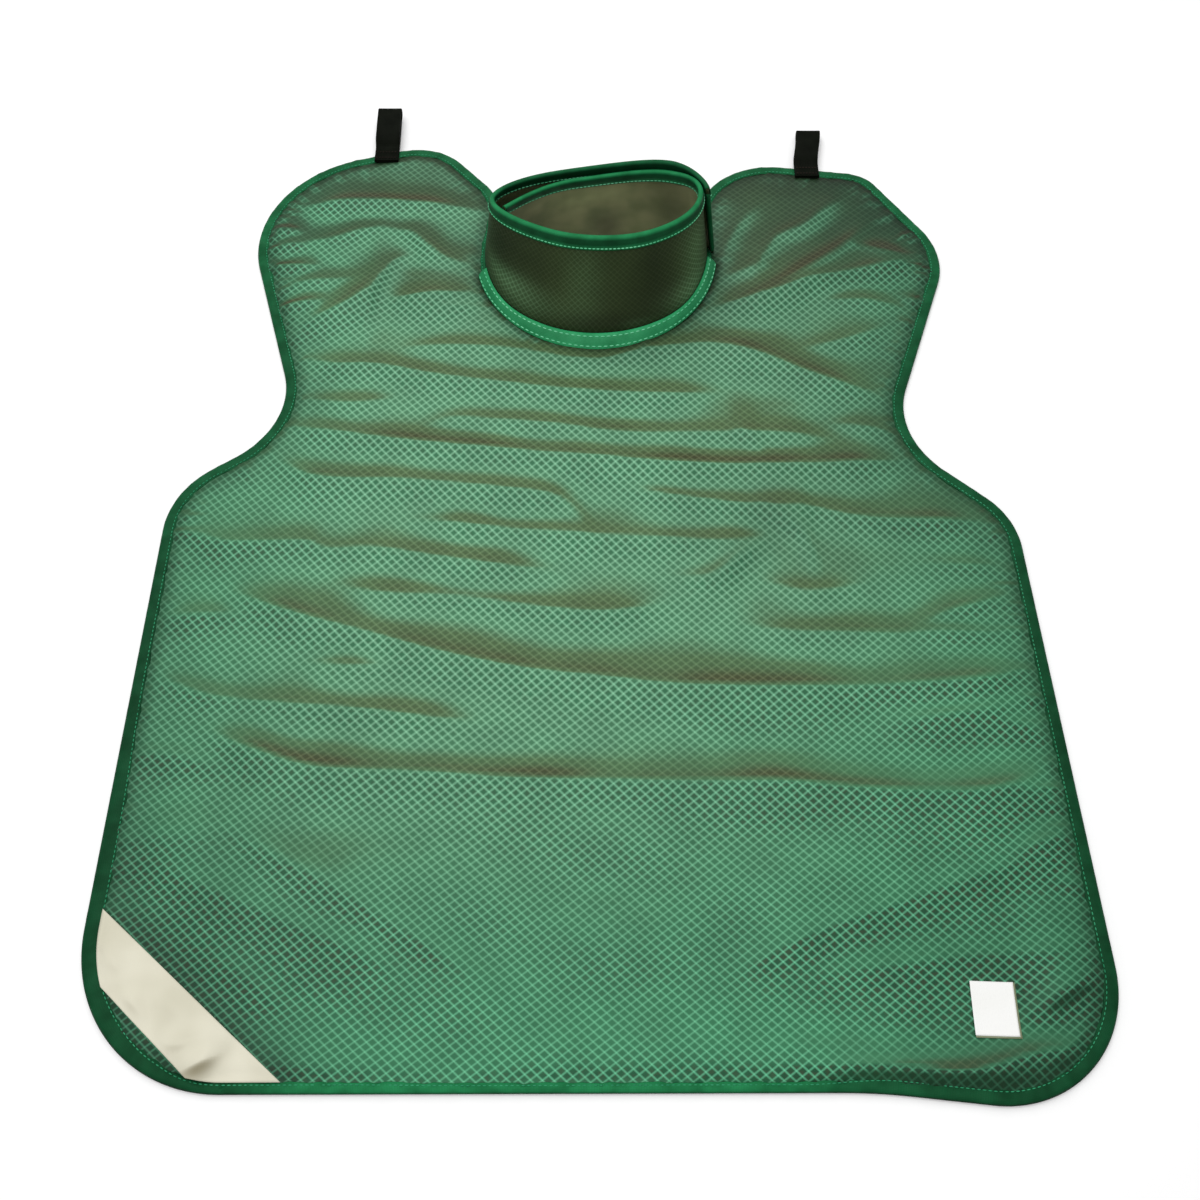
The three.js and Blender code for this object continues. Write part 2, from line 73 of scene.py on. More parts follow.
# The panel's folds: each follows a line (x, d) where the cloth falls away from the hem most
# steeply. It stands high, and its sides spread near towards the hem and far away from it.
FOLDS = [
    # high, near, far, line
    (4.4, 12, 7, ((-262, 700), (-240, 708), (-215, 713), (-177, 714), (-130, 710), (-78, 705))),
    (3.2, 12, 6, ((-262, 668), (-240, 667), (-213, 670), (-190, 679), (-170, 682), (-146, 676))),
    (5.2, 14, 8, ((-178, 682), (-148, 677), (-130, 661), (-112, 647), (-84, 640))),
    (3.2, 12, 6, ((-264, 612), (-228, 621), (-205, 624), (-175, 629))),
    (6.0, 12, 9, (
        (-248, 566), (-220, 582), (-195, 598), (-180, 615), (-170, 634), (-158, 648), (-132, 654),
    )),
    (6.2, 13, 9, ((-172, 602), (-140, 606), (-115, 609), (-80, 614))),
    (1.6, 6, 5, ((-150, 583), (-120, 590), (-78, 595))),
    (3.0, 6, 3.5, ((-276, 674), (-250, 677), (-230, 676))),
    (3.0, 6, 3.5, ((-274, 656), (-248, 660), (-226, 660))),
    (3.0, 6, 3.5, ((-270, 633), (-240, 636), (-214, 638))),
    (2.6, 6, 3.5, ((-250, 590), (-226, 596), (-206, 600))),
    (3.2, 14, 6, (
        (-238, 545), (-200, 534), (-160, 532), (-120, 523), (-70, 515), (0, 506), (60, 504),
        (112, 508),
    )),
    (2.6, 14, 6, (
        (-160, 550), (-110, 553), (-60, 550), (-20, 541), (10, 539), (40, 548), (90, 555),
        (115, 551),
    )),
    (4.0, 15, 7, ((60, 554), (90, 556), (115, 551), (140, 541), (170, 525), (200, 512), (240, 497))),
    (3.4, 12, 7, ((92, 620), (128, 638), (140, 656), (152, 673), (175, 686), (195, 706), (226, 732))),
    (2.4, 12, 8, ((98, 640), (115, 678), (130, 700), (150, 720))),
    (3.8, 12, 7, ((128, 612), (152, 622), (172, 634), (190, 648), (208, 664), (225, 682), (246, 704))),
    (4.8, 13, 7, ((84, 588), (125, 602), (155, 613), (178, 622), (210, 631), (252, 642), (284, 650))),
    (3.2, 9, 6, ((204, 668), (240, 655), (274, 646))),
    (3.0, 12, 6, ((170, 598), (210, 601), (235, 598), (268, 588))),
    (3.0, 12, 6, ((156, 551), (195, 558), (244, 576))),
    (2.2, 12, 5, ((-236, 501), (-180, 495), (-130, 502))),
    (2.8, 13, 6, (
        (-136, 472), (-105, 481), (-70, 479), (-20, 474), (20, 468), (80, 467), (140, 467),
        (192, 461),
    )),
    (4.4, 15, 6, (
        (-240, 475), (-190, 467), (-130, 458), (-60, 450), (0, 444), (60, 438), (130, 437),
        (242, 441),
    )),
    (3.2, 14, 6, (
        (-246, 452), (-213, 432), (-188, 425), (-123, 422), (-60, 415), (-28, 410), (-8, 397),
        (6, 378),
    )),
    (2.6, 14, 6, ((-148, 391), (-80, 383), (-30, 378), (40, 373), (90, 371), (138, 376))),
    (2.6, 13, 6, (
        (-306, 387), (-262, 371), (-235, 370), (-200, 370), (-183, 364), (-145, 364), (-70, 351),
        (-8, 343),
    )),
    (2.8, 14, 6, ((-186, 338), (-140, 328), (-100, 325), (-40, 317), (10, 313), (68, 320))),
    (4.8, 18, 8, (
        (-260, 336), (-205, 314), (-155, 299), (-105, 284), (-55, 272), (0, 265), (60, 258), (130, 257),
        (200, 258), (260, 263), (306, 274),
    )),
    (2.0, 12, 5, ((-202, 273), (-160, 270), (-112, 267))),
    (1.8, 10, 5, ((-306, 306), (-262, 310), (-222, 308))),
    (2.6, 14, 5, ((-306, 270), (-262, 253), (-238, 247), (-185, 241), (-130, 236), (-56, 226))),
    (3.0, 14, 6, (
        (2, 424), (45, 411), (95, 403), (130, 400), (155, 400), (190, 392), (225, 389), (300, 387),
    )),
    (2.4, 5, 12, ((110, 406), (135, 386), (148, 374), (156, 358), (165, 336))),
    (2.8, 12, 8, ((44, 344), (75, 342), (90, 348), (105, 361), (134, 378))),
    (2.0, 12, 6, ((98, 346), (135, 333), (160, 330), (208, 338))),
    (2.4, 11, 5, ((204, 298), (240, 312), (265, 319), (306, 333))),
    (2.0, 12, 5, ((92, 304), (135, 297), (190, 297), (245, 296), (304, 293))),
    (1.6, 10, 5, ((218, 352), (262, 350), (306, 347))),
    (2.0, 8, 5, ((172, 477), (208, 472), (242, 463))),
    (1.6, 5, 9, ((100, 474), (118, 457), (134, 438))),
    (4.0, 15, 6, (
        (-260, 228), (-208, 208), (-172, 198), (-110, 195), (-40, 191), (40, 189), (120, 188), (170, 184),
        (215, 182), (250, 183), (275, 190), (306, 201),
    )),
    (1.8, 10, 5, ((-306, 209), (-262, 205), (-222, 192))),
    (3.2, 11, 30, ((-296, 137), (-267, 124), (-224, 106), (-183, 89), (-142, 74), (-104, 56))),
    (3.0, 11, 30, ((-236, 154), (-196, 132), (-143, 103), (-86, 70), (-50, 54))),
    (2.6, 10, 28, ((-250, 82), (-205, 58), (-160, 34))),
    (2.4, 12, 5, ((176, 227), (230, 233), (262, 238), (306, 251))),
    (1.6, 7, 4, ((252, 229), (306, 224))),
    (1.8, 9, 4, ((250, 139), (278, 148), (308, 158))),
    (1.6, 8, 4, ((254, 181), (306, 176))),
    (3.2, 7, 30, ((78, 60), (123, 80), (173, 98), (217, 113), (246, 122), (300, 140))),
    (1.8, 14, 6, ((118, 68), (175, 74), (225, 79), (262, 81), (308, 91))),
    (4.6, 3, 14, ((244, 38), (262, 46), (280, 55), (308, 66))),
    (6.0, 8, 5, ((100, 6), (150, 8), (205, 12), (235, 19), (255, 24), (298, 28))),
    (1.2, 14, 8, ((-80, 31), (60, 29), (140, 30), (218, 31))),
]
FOLD_FADE = 60  # folds die away over this length at their ends
FOLD_EDGE = (5, 16)  # and over this stretch of inset along the apron's edge
FAR_SPREAD = 1.6  # the far side spreads this many times its measure
CREST_ROUND = 3.2  # how far the crest is rounded
UNEVEN = [(0.12, 27), (0.06, 11)]  # how much a fold's height varies, and over what length
CREASE = {
    "count": 70, "half": (22, 60), "tilt": -0.06, "tilt_spread": 0.12, "bow": 5, "inset": 12,
    "high": (0.15, 0.5), "near": (8, 14), "far": (7, 10), "knots": (-1, -0.4, 0.3, 1),
}
SLOPE_HALF = 1.5  # the cloth's slope is taken over this length either way

# The panel and its binding
WEAVE_PITCH = 6.76  # corner to corner of a ripstop diamond
WEAVE_TURN = -3.0  # degrees
WEAVE_CLOSE = (1.26, -0.00032)  # the diamonds are packed closer towards the hem
WEAVE_EVEN = 400  # and even above this height
# The panel's mesh has square cells, and its wall thins towards the rim inside the binding
PANEL = {"cell": 3.2, "wall": 3.0, "rim": 4.5, "rim_low": 1.15, "rim_high": 2.4, "thin": (8, 17)}
BINDING_SECTION = [
    # inset, z
    (9.0, 2.75), (8.7, 3.05), (7.2, 3.35), (5.0, 3.6), (2.8, 3.55), (1.2, 3.2), (0.3, 2.5),
    (0.0, 1.8), (0.3, 1.1), (1.2, 0.45), (2.8, 0.15), (5.0, 0.1), (8.0, 0.1), (9.0, 0.2),
    (9.0, 0.95), (5.0, 0.9), (2.0, 1.2), (1.2, 1.8), (2.0, 2.45), (5.0, 2.7),
]
BINDING_WAVES = [(0.18, (61, 97, 143, 211, 317)), (0.16, (83, 151, 233, 341))]  # in width, in height
WAVE_STARTS = (0, 6)  # in radians
BINDING_LEFT = {"wider": 2.6, "x": (-240, -285), "d": (260, 150)}
BINDING_HEM = {
    "narrower": 2.6, "facing": (0.9, 1.0), "x": (175, 120), "middle": 0.6, "middle_x": (-140, -60),
}
BINDING_BEND = {"inset": (2, 9), "z": (1.8, 3.4)}  # the part of its section that the waves move
# Painted light and shade on the binding tape: lighter along the hem and over the shoulders, darker down the
# sides, at the low corners and on its low outer face
BINDING_PAINTED_LIGHT = {"hem": 1.4, "sides": -0.3, "tops": 0.35, "corners": -0.25, "outer": -0.92}
BINDING_SIDES, BINDING_TOPS, BINDING_CORNERS = (420, 300), (560, 660), (170, 240)  # in d, in d, in x
BINDING_OUTER = {"z": (3.5, 1.7), "inset": 3}  # the face turned outwards and down
# How squarely the edge faces each way, from none to full
FACING_HEM, FACING_LOW, FACING_SIDE = (0.8, 1.0), (0.2, 0.8), (0.75, 1.0)
BINDING_STITCH = {"inset": 7.4, "z": 3.42}
PUCKER = {
    "spacing": 9.0, "spread": 0.5, "high": (0.1, 0.85), "wide": (2.5, 5.0), "from": 6, "reach": (14, 40),
    "edge": (5, 12), "facing": (0.75, 0.95), "outer_x": (120, 180),
    "shoulder": 1.8, "shoulder_d": (540, 600), "neck": 0.6, "neck_d": (600, 640),
}
SWELL = {"waves": 7, "tilt": 0.5, "length": (40, 100), "high": 0.2}

# The collar, a band wound round the neck; angles are degrees, 0 at the right, -90 at the throat
COLLAR_BASE = {"x": 5, "d": 650, "wide": 90, "front": 97, "rear": 26, "turned": 0, "throat": 0, "nape": 0}
COLLAR_RIM = {
    "x": 5, "d": 636.5, "wide": 80, "front": 51, "rear": 23.5, "turned": 4, "throat": -0.35, "nape": 1.1,
}
OVAL_STEP = 0.01  # an oval's slope is taken over these radians either way
COLLAR_RIM_FRONT, COLLAR_RIM_REAR = 79, 75  # the rim's height
COLLAR_SEWN, COLLAR_FREE = 3.9, 0.3  # the foot's height, sewn to the panel and free behind it
COLLAR_FOOT_TURN = (664, 673)  # over this stretch of d it goes from one to the other
COLLAR_WALL = 2.4
COLLAR_LAYERS = 5.4  # how far the overlapped layers stand apart
LAYERS_CROSS = 40  # over these degrees a layer moves in or out
COLLAR_TURN = (158, -360)  # from the inner end to the outer one
INNER_SHIFT = (1.0, -13.0)  # the inner end is carried this far forward
INNER_FROM = 100  # from this angle on
FLAP_RISE = 5.0  # the outer layer stands this much higher behind
FLAP_UP, FLAP_DOWN = (-175, -250), (-352, -318)  # where it rises, and where it is down again
COLLAR_STEP = 2.5
COLLAR_ROWS = 20
COLLAR_DROP = 68  # the rows are even down to this drop, and the last is at the foot
FOOT_DROP, FOOT_WEAVE = 1000, 80  # a drop past the foot, and the drop that its weave is given
COLLAR_WEAVE = 1.5  # the collar's cloth is this much finer than the panel's
COLLAR_LEAN, COLLAR_INSET = 0.02, 50.0  # it shows as cloth does that lies flat, far from the edge
BULGES = [
    # degrees, drop, out, degrees wide, drop wide
    (-136, 62, 3.5, 24, 15),
    (-46, 63, 3.0, 20, 13),
    (-88, 40, -1.6, 26, 26),
    (-70, 30, 1.0, 12, 30),
    (-110, 34, 1.0, 12, 34),
    (100, 40, -0.8, 10, 34),
    (70, 40, 0.8, 12, 34),
]
# Painted sheen on the collar's outside
COLLAR_SHEEN = [
    # degrees, drop, strength, degrees wide, drop wide
    (-145, 50, 0.9, 18, 8),
    (-128, 60, 0.5, 18, 10),
    (-38, 62, 0.7, 16, 12),
    (-26, 34, 0.4, 14, 32),
    (-70, 72, 0.5, 9, 5),
    (-98, 40, 0.22, 10, 40),
]
# Painted shade and painted light on the collar's outside
COLLAR_PAINTED_LIGHT = [
    # degrees, drop, strength, degrees wide, drop wide
    (-152, 26, -0.4, 24, 24),
    (-60, 34, -0.35, 13, 36),
    (-88, 68, -0.4, 26, 10),
    (-26, 40, 0.4, 16, 40),
    (-104, 36, 0.2, 14, 40),
]
# Painted light and shade on the lining: a painted sheen high in the middle, painted shade below it and
# towards the sides
LINING_PAINTED_LIGHT = [
    # degrees, drop, strength, degrees wide, drop wide
    (98, 20, 0.45, 24, 16),
    (84, 62, -0.5, 10, 26),
    (40, 30, -0.4, 22, 60),
    (135, 50, -0.25, 18, 30),
]
RIM_SECTION = [
    # drop, out
    (9.0, 2.0), (8.4, 2.25), (6.6, 2.4), (4.6, 2.4), (1.3, 2.2), (-0.5, 1.5), (-1.1, 0.0), (-0.5, -1.5),
    (1.3, -2.2), (4.6, -2.4), (6.6, -2.4), (8.4, -2.25), (9.0, -2.0), (9.0, -1.55), (4.0, -1.55),
    (0.6, -1.4), (-0.2, 0.0), (0.6, 1.4), (4.0, 1.55), (9.0, 1.55),
]
# The rim tape's painted light: its brightness at its least, and how much painted highlight is added on its
# crest and at its foot; behind, over the outer layer, painted shade darkens it
RIM_PAINTED_LIGHT = {
    "across": (0.7, 1.8, 1.0), "crest": (1.3, -0.5), "foot": (4.6, 6.6), "behind": 0.5, "back": (-186, -215),
}
RIM_STITCH = {"drop": 7.4, "out": 2.3, "larger": 1.2}
END_SECTION = [
    # ahead of the outer layer's end, out
    (5.72, 1.9), (2.64, 2.1), (-1.32, 1.4), (-2.2, 0), (-1.32, -1.4), (2.64, -2.1), (5.72, -1.9),
    (5.72, -1.4), (0, 0), (5.72, 1.4),
]
END_DROPS = (6, 70, 30)  # from, to, rows
END_DEGREE = 1.5  # millimetres to a degree there
NECK_TAPE = {
    "from": -7.5, "to": -165, "reach": 6.5, "rise": 8.5, "thick": 1.1, "edge": 0.75, "crown": 0.9,
    "gap": 0.25, "lift": 0.2, "lean": (0.8, 0.6), "cells": 10, "wide": 10, "step": 1.0,
    "tone": (0.85, 0.35), "borders": (0.2, 0.42),
}
NECK_STITCH = {"shares": (0.2, 0.8), "larger": 1.5, "ends": 0.5}
CLOSURE = {"degrees": (120, 60), "drops": (24, 58), "cells": 12, "clear": 0.6, "corners": 0.5}

# Loops, patch and tag
LOOP = {
    "width": 20.5, "thick": 1.3, "base": 13, "slot": 5.4, "clear": 5, "slope": 12, "foot": 3.9, "gap": 0.3,
}
LOOPS = [
    # side, x, length, lift, lean
    ("left", -176, 50.5, 4.0, -1.0),
    ("right", 186, 45.5, 0.3, 5.5),
]
LOOP_STEPS = {"foot": 12, "ease": 14, "under": 16, "bend": 16, "over": 18}
LOOP_STITCH = {"below": (10.5, 3.5), "half": 9.5, "count": 9, "z": 7.55, "pitch": 2.6, "larger": 0.8}
WEB_SECTION = [
    # across as a share of half the width, thickness as a share of half
    (-0.93, 1.0), (-0.5, 0.9), (0.0, 0.88), (0.5, 0.9), (0.93, 1.0), (1.0, 0.55), (1.0, -0.55),
    (0.93, -1.0), (0.5, -0.9), (0.0, -0.88), (-0.5, -0.9), (-0.93, -1.0), (-1.0, -0.55), (-1.0, 0.55),
]
PATCH_TOP = ((-292, 104), (-175, 7))
PATCH_FOOT = ((-282, 56), (-228, 9))
PATCH_INSET, PATCH_HEM_INSET = 9.4, 6.2
LINE_SHARES = (-0.4, 1.4, 1500)  # from, to, steps: the patch's lines are followed past their ends
PATCH_CELLS = (64, 30)
PATCH_FOLDS = [
    # high, near, far, line
    (6.5, 5, 8, ((-240, 8), (-226, 10), (-212, 16), (-198, 26))),
    (3.6, 4, 5, ((-252, 30), (-238, 24), (-222, 26), (-208, 32))),
    (3.4, 4, 4, ((-276, 54), (-262, 46), (-250, 36))),
    (3.0, 6, 5, ((-292, 88), (-278, 76), (-262, 70))),
    (2.6, 7, 6, ((-262, 62), (-240, 52), (-220, 40))),
]
PATCH = {"lift": 0.75, "least": 3.9, "thick": 0.6, "slope_half": 0.5}
TAG = {
    "x": 231.8, "d": 45, "width": 25.0, "height": 30.6, "turn": -2, "thick": 0.35, "cells": (24, 26),
    "stiff": 0.35, "curl": 0.35,
}
TAG_LAYERS = [
    # piece, larger by, lift, aside
    ("tag_label", 0.0, 0.95, (0, 0)),
    # the backing is partly the label's edging all round, partly a painted shadow to its lower right
    ("tag_backing_and_shadow", 0.9, 0.45, (0.7, -0.6)),
]

STITCH = {"pitch": 3.1, "length": 2.3, "width": 0.75, "high": 0.4, "sides": 8}
STITCH_HEADING = 0.5  # a stitch's heading is taken over this length either way
STITCH_STEP = 0.5  # degrees between the points that a row on the collar is drawn with
STITCH_RINGS = [
    # size, rise as a share of the height
    (0.85, -0.8), (1.0, 0.1), (0.72, 0.75), (0.25, 1.0),
]


def smooth(value, start, full):
    """0 before start and 1 past full, eased between them, whichever of the two is the greater."""
    share = np.clip((np.asarray(value, float) - start) / (full - start), 0, 1)
    return share * share * (3 - 2 * share)


def unit(vectors):
    return vectors / np.linalg.norm(vectors, axis=-1)[..., None]


def turned(x, d, degrees):
    angle = math.radians(degrees)
    return x * math.cos(angle) - d * math.sin(angle), x * math.sin(angle) + d * math.cos(angle)


def right_of(ways):
    """Flat ways turned a quarter to the right."""
    return np.stack([ways[..., 1], -ways[..., 0]], -1)


def there_and_back(values):
    return np.concatenate([values, values[::-1]])


def run_along(points):
    """How far along a line of points each of them is."""
    return np.concatenate([[0], np.cumsum(np.linalg.norm(np.diff(points, axis=0), axis=1))])


def at_runs(at, run, points):
    """The points, or other values, at some runs along a line."""
    return np.stack([np.interp(at, run, column) for column in np.transpose(points)], 1)


def in_frame(points):
    return (np.asarray(points, float) - FRAME_ORIGIN) * MM


# Meshes from grids of points
def grid_faces(rows, columns, wrap_rows=False, wrap_columns=False):
    row = np.arange(rows if wrap_rows else rows - 1)[:, None]
    column = np.arange(columns if wrap_columns else columns - 1)[None, :]
    next_row, next_column = (row + 1) % rows, (column + 1) % columns
    corners = [(row, column), (next_row, column), (next_row, next_column), (row, next_column)]
    return np.stack([r * columns + c for r, c in corners], -1).reshape(-1, 4)


def tube_faces(rows, columns):
    caps = [np.arange(columns), np.arange(columns)[::-1] + (rows - 1) * columns]
    return [*grid_faces(rows, columns, False, True), *caps]


def add_object(name, data):
    made = bpy.data.objects.new(name, data)
    bpy.context.scene.collection.objects.link(made)
    return made


def piece(name, points, faces, materials, fields=(), face_material=None):
    """A closed mesh of points in apron millimetres, with its normals turned outwards."""
    mesh = bpy.data.meshes.new(name)
    mesh.from_pydata(in_frame(points).tolist(), [], [list(map(int, face)) for face in faces])
    for field, values in fields:
        values = np.asarray(values, np.float32)
        if values.ndim == 1:
            mesh.attributes.new(field, "FLOAT", "POINT").data.foreach_set("value", values)
        else:
            mesh.attributes.new(field, "FLOAT_VECTOR", "POINT").data.foreach_set("vector", values.ravel())
    for material in materials:
        mesh.materials.append(material)
    if face_material is not None:
        mesh.polygons.foreach_set("material_index", np.asarray(face_material, np.int32))
    shape = bmesh.new()
    shape.from_mesh(mesh)
    bmesh.ops.recalc_face_normals(shape, faces=shape.faces)
    shape.to_mesh(mesh)
    shape.free()
    mesh.shade_smooth()
    return add_object(name, mesh)


def cloth_field(across, along):
    return np.stack([across, along, np.zeros_like(across)], -1).reshape(-1, 3) / WEAVE_PITCH


def panel_field(x, d):
    """The panel's weave: a little turned, and packed closer towards the hem as in the photograph."""
    low = np.minimum(d, WEAVE_EVEN)
    opening = WEAVE_CLOSE[0] + 2 * WEAVE_CLOSE[1] * WEAVE_EVEN
    along = WEAVE_CLOSE[0] * low + WEAVE_CLOSE[1] * low * low + opening * (d - low)
    return cloth_field(*turned(x, along, -WEAVE_TURN))


# The edge of the apron
def edge_points():
    """The belt round the edge's circles, as arcs joined by straight runs."""
    centres = np.array([row[1:3] for row in EDGE], float)
    reach = np.array([row[3] for row in EDGE], float)
    ahead = np.roll(centres, -1, 0) - centres
    distance = np.linalg.norm(ahead, axis=1)
    ahead /= distance[:, None]
    lean = (reach - np.roll(reach, -1)) / distance
    spoke = ahead * lean[:, None] - right_of(ahead) * np.sqrt(1 - lean**2)[:, None]
    points = []
    for i, (centre, radius) in enumerate(zip(centres, reach)):
        arrive, leave = (spoke[k] * radius for k in (i - 1, i))
        start = math.atan2(arrive[1], arrive[0])
        way = -1 if radius > 0 else 1
        turn = (way * (math.atan2(leave[1], leave[0]) - start)) % (2 * math.pi)
        steps = max(2, math.ceil(turn * abs(radius) / EDGE_FINE))
        angle = start + way * turn * np.linspace(0, 1, steps + 1)
        points.append(centre + abs(radius) * np.stack([np.cos(angle), np.sin(angle)], 1))
    return np.concatenate(points)


def even_points(points, step):
    """Points at even steps round a closed line, and how far round it each is."""
    closed = np.concatenate([points, points[:1]])
    run = run_along(closed)
    at = np.linspace(0, run[-1], round(run[-1] / step), endpoint=False)
    return at_runs(at, run, closed), at


def outward(points):
    return -right_of(unit(np.roll(points, -1, 0) - np.roll(points, 1, 0)))


edge, edge_at = even_points(edge_points(), EDGE_STEP)
panel_box = np.array(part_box("apron_panel")) / MM
FRAME_ORIGIN = np.append((edge.min(0) + edge.max(0) - panel_box[:, :2].sum(0)) / 2, 0.0)
edge_out = outward(edge)
edge_length = edge_at[-1] + EDGE_STEP


def edge_field(x, d):
    """How far inside the edge each point is, and where along the edge it is nearest to."""
    points = np.stack([np.ravel(x), np.ravel(d)], 1)
    inset, place = np.empty(len(points)), np.empty(len(points))
    for start in range(0, len(points), SHARE_OF_POINTS):
        part = slice(start, start + SHARE_OF_POINTS)
        some = points[part]
        apart = some[:, None] - edge[None]
        near = (apart**2).sum(-1).argmin(1)
        gap = apart[np.arange(len(some)), near]
        side = np.sign((gap * edge_out[near]).sum(1))
        inset[part] = -side * np.linalg.norm(gap, axis=1)
        place[part] = edge_at[near]
    return inset.reshape(np.shape(x)), place.reshape(np.shape(x))


# The cloth's height above the table
def curve_through(line, step=2.0):
    """A smooth curve through the points of a line that runs across the apron."""
    knots = np.array(line, float)
    ends = np.concatenate([[2 * knots[0] - knots[1]], knots, [2 * knots[-1] - knots[-2]]])
    points = []
    for a, b, c, d in zip(ends, ends[1:], ends[2:], ends[3:]):
        t = np.linspace(0, 1, max(2, math.ceil(math.dist(b, c) / step)), endpoint=False)[:, None]
        bend = (2 * a - 5 * b + 4 * c - d) * t**2 + (3 * b - a - 3 * c + d) * t**3
        points.append(b + (c - a) * t / 2 + bend / 2)
    return np.concatenate([*points, knots[-1:]])


def ridges(table, x, d):
    """The height that a table of folds gives the cloth."""
    total = np.zeros_like(x)
    for high, near, far, line in table:
        curve = curve_through(line)
        slope = np.gradient(curve[:, 1], curve[:, 0])
        run = run_along(curve)
        inside = (x > curve[0, 0]) & (x < curve[-1, 0])
        px, pd = x[inside], d[inside]
        upright = 1 / np.sqrt(1 + np.interp(px, curve[:, 0], slope) ** 2)
        spread = far * FAR_SPREAD
        crest = spread / 2 if far < near else -near / 2
        aside = (pd - np.interp(px, curve[:, 0], curve[:, 1])) * upright + crest
        along = np.interp(px, curve[:, 0], run)
        dying = smooth(np.minimum(along, run[-1] - along), 0, min(FOLD_FADE, run[-1] / 2))
        start = sum(line[0])
        uneven = 1 + sum(s * np.sin(along / wave + k * start) for k, (s, wave) in enumerate(UNEVEN, 1))
        off = np.hypot(aside, CREST_ROUND) - CREST_ROUND
        rise = np.exp(-off / np.where(aside > 0, spread, near))
        total[inside] += high * uneven * dying * rise
    return total


def make_creases():
    """Small random creases, nearly level, as rows of the folds' table."""
    rows = []
    low, high = edge.min(0), edge.max(0)
    while len(rows) < CREASE["count"]:
        x, d = RANDOM.uniform(low, high)
        half = RANDOM.uniform(*CREASE["half"])
        tilt, bow = RANDOM.normal(CREASE["tilt"], CREASE["tilt_spread"]), RANDOM.normal(0, CREASE["bow"])
        size, near, far = (RANDOM.uniform(*CREASE[key]) for key in ("high", "near", "far"))
        if edge_field(np.array([x]), np.array([d]))[0][0] < CREASE["inset"]:
            continue
        line = [(x + s * half, d + s * half * tilt + bow * (1 - s * s)) for s in CREASE["knots"]]
        rows.append((size, near, far, line))
    return rows


def make_swell():
    """Low waves of random lengths over the whole panel."""
    angle = RANDOM.uniform(-SWELL["tilt"], SWELL["tilt"], SWELL["waves"]) + math.pi / 2
    length = RANDOM.uniform(*SWELL["length"], SWELL["waves"])
    shift = RANDOM.uniform(0, 2 * math.pi, SWELL["waves"])

    def height(x, d):
        total = 0
        for a, wave, start in zip(angle, length, shift):
            total = total + 1 + np.sin((x * math.cos(a) + d * math.sin(a)) * 2 * math.pi / wave + start)
        return SWELL["high"] * total / 2

    return height


def make_puckers():
    """Short random creases that the binding's seam draws into the cloth."""
    count = round(edge_length / PUCKER["spacing"])
    aside = RANDOM.uniform(-PUCKER["spread"], PUCKER["spread"], count)
    at = (np.arange(count) + aside) * edge_length / count
    high, wide, reach = (RANDOM.uniform(*PUCKER[key], count) for key in ("high", "wide", "reach"))
    near = np.clip(np.round(at / EDGE_STEP).astype(int), 0, len(edge) - 1)
    x, d = edge[near].T
    sides = smooth(np.abs(edge_out[near, 0]), *PUCKER["facing"]) * smooth(d, *PUCKER["shoulder_d"])
    outer = smooth(np.abs(x), *PUCKER["outer_x"])
    inner = (1 - outer) * smooth(d, *PUCKER["neck_d"])
    high = high * (1 + PUCKER["shoulder"] * sides * outer) * (1 - PUCKER["neck"] * inner)

    def height(inset, place):
        total = np.zeros_like(inset)
        for a, h, w, r in zip(at, high, wide, reach):
            off = (place - a + edge_length / 2) % edge_length - edge_length / 2
            total += h * np.exp(-((off / w) ** 2)) * smooth(inset, r, PUCKER["from"])
        return total

    return height


swell = make_swell()
puckers = make_puckers()
creases = make_creases()


def cloth_height(x, d):
    """How far the cloth stands off the table, and how far inside the edge it is."""
    inset, place = edge_field(x, d)
    rise = ridges(FOLDS + creases, x, d) + swell(x, d)
    height = rise * smooth(inset, *FOLD_EDGE)
    close = inset < PUCKER["reach"][1]
    height[close] += puckers(inset[close], place[close]) * smooth(inset[close], *PUCKER["edge"])
    return height, inset


def panel_sides(height, inset):
    """The heights of the panel's upper and lower sides."""
    full = smooth(inset, *PANEL["thin"])
    top = height + PANEL["rim_high"] + (PANEL["wall"] - PANEL["rim_high"]) * full
    return top, height + PANEL["rim_low"] * (1 - full)


def cloth_top(x, d):
    return panel_sides(*cloth_height(x, d))[0]


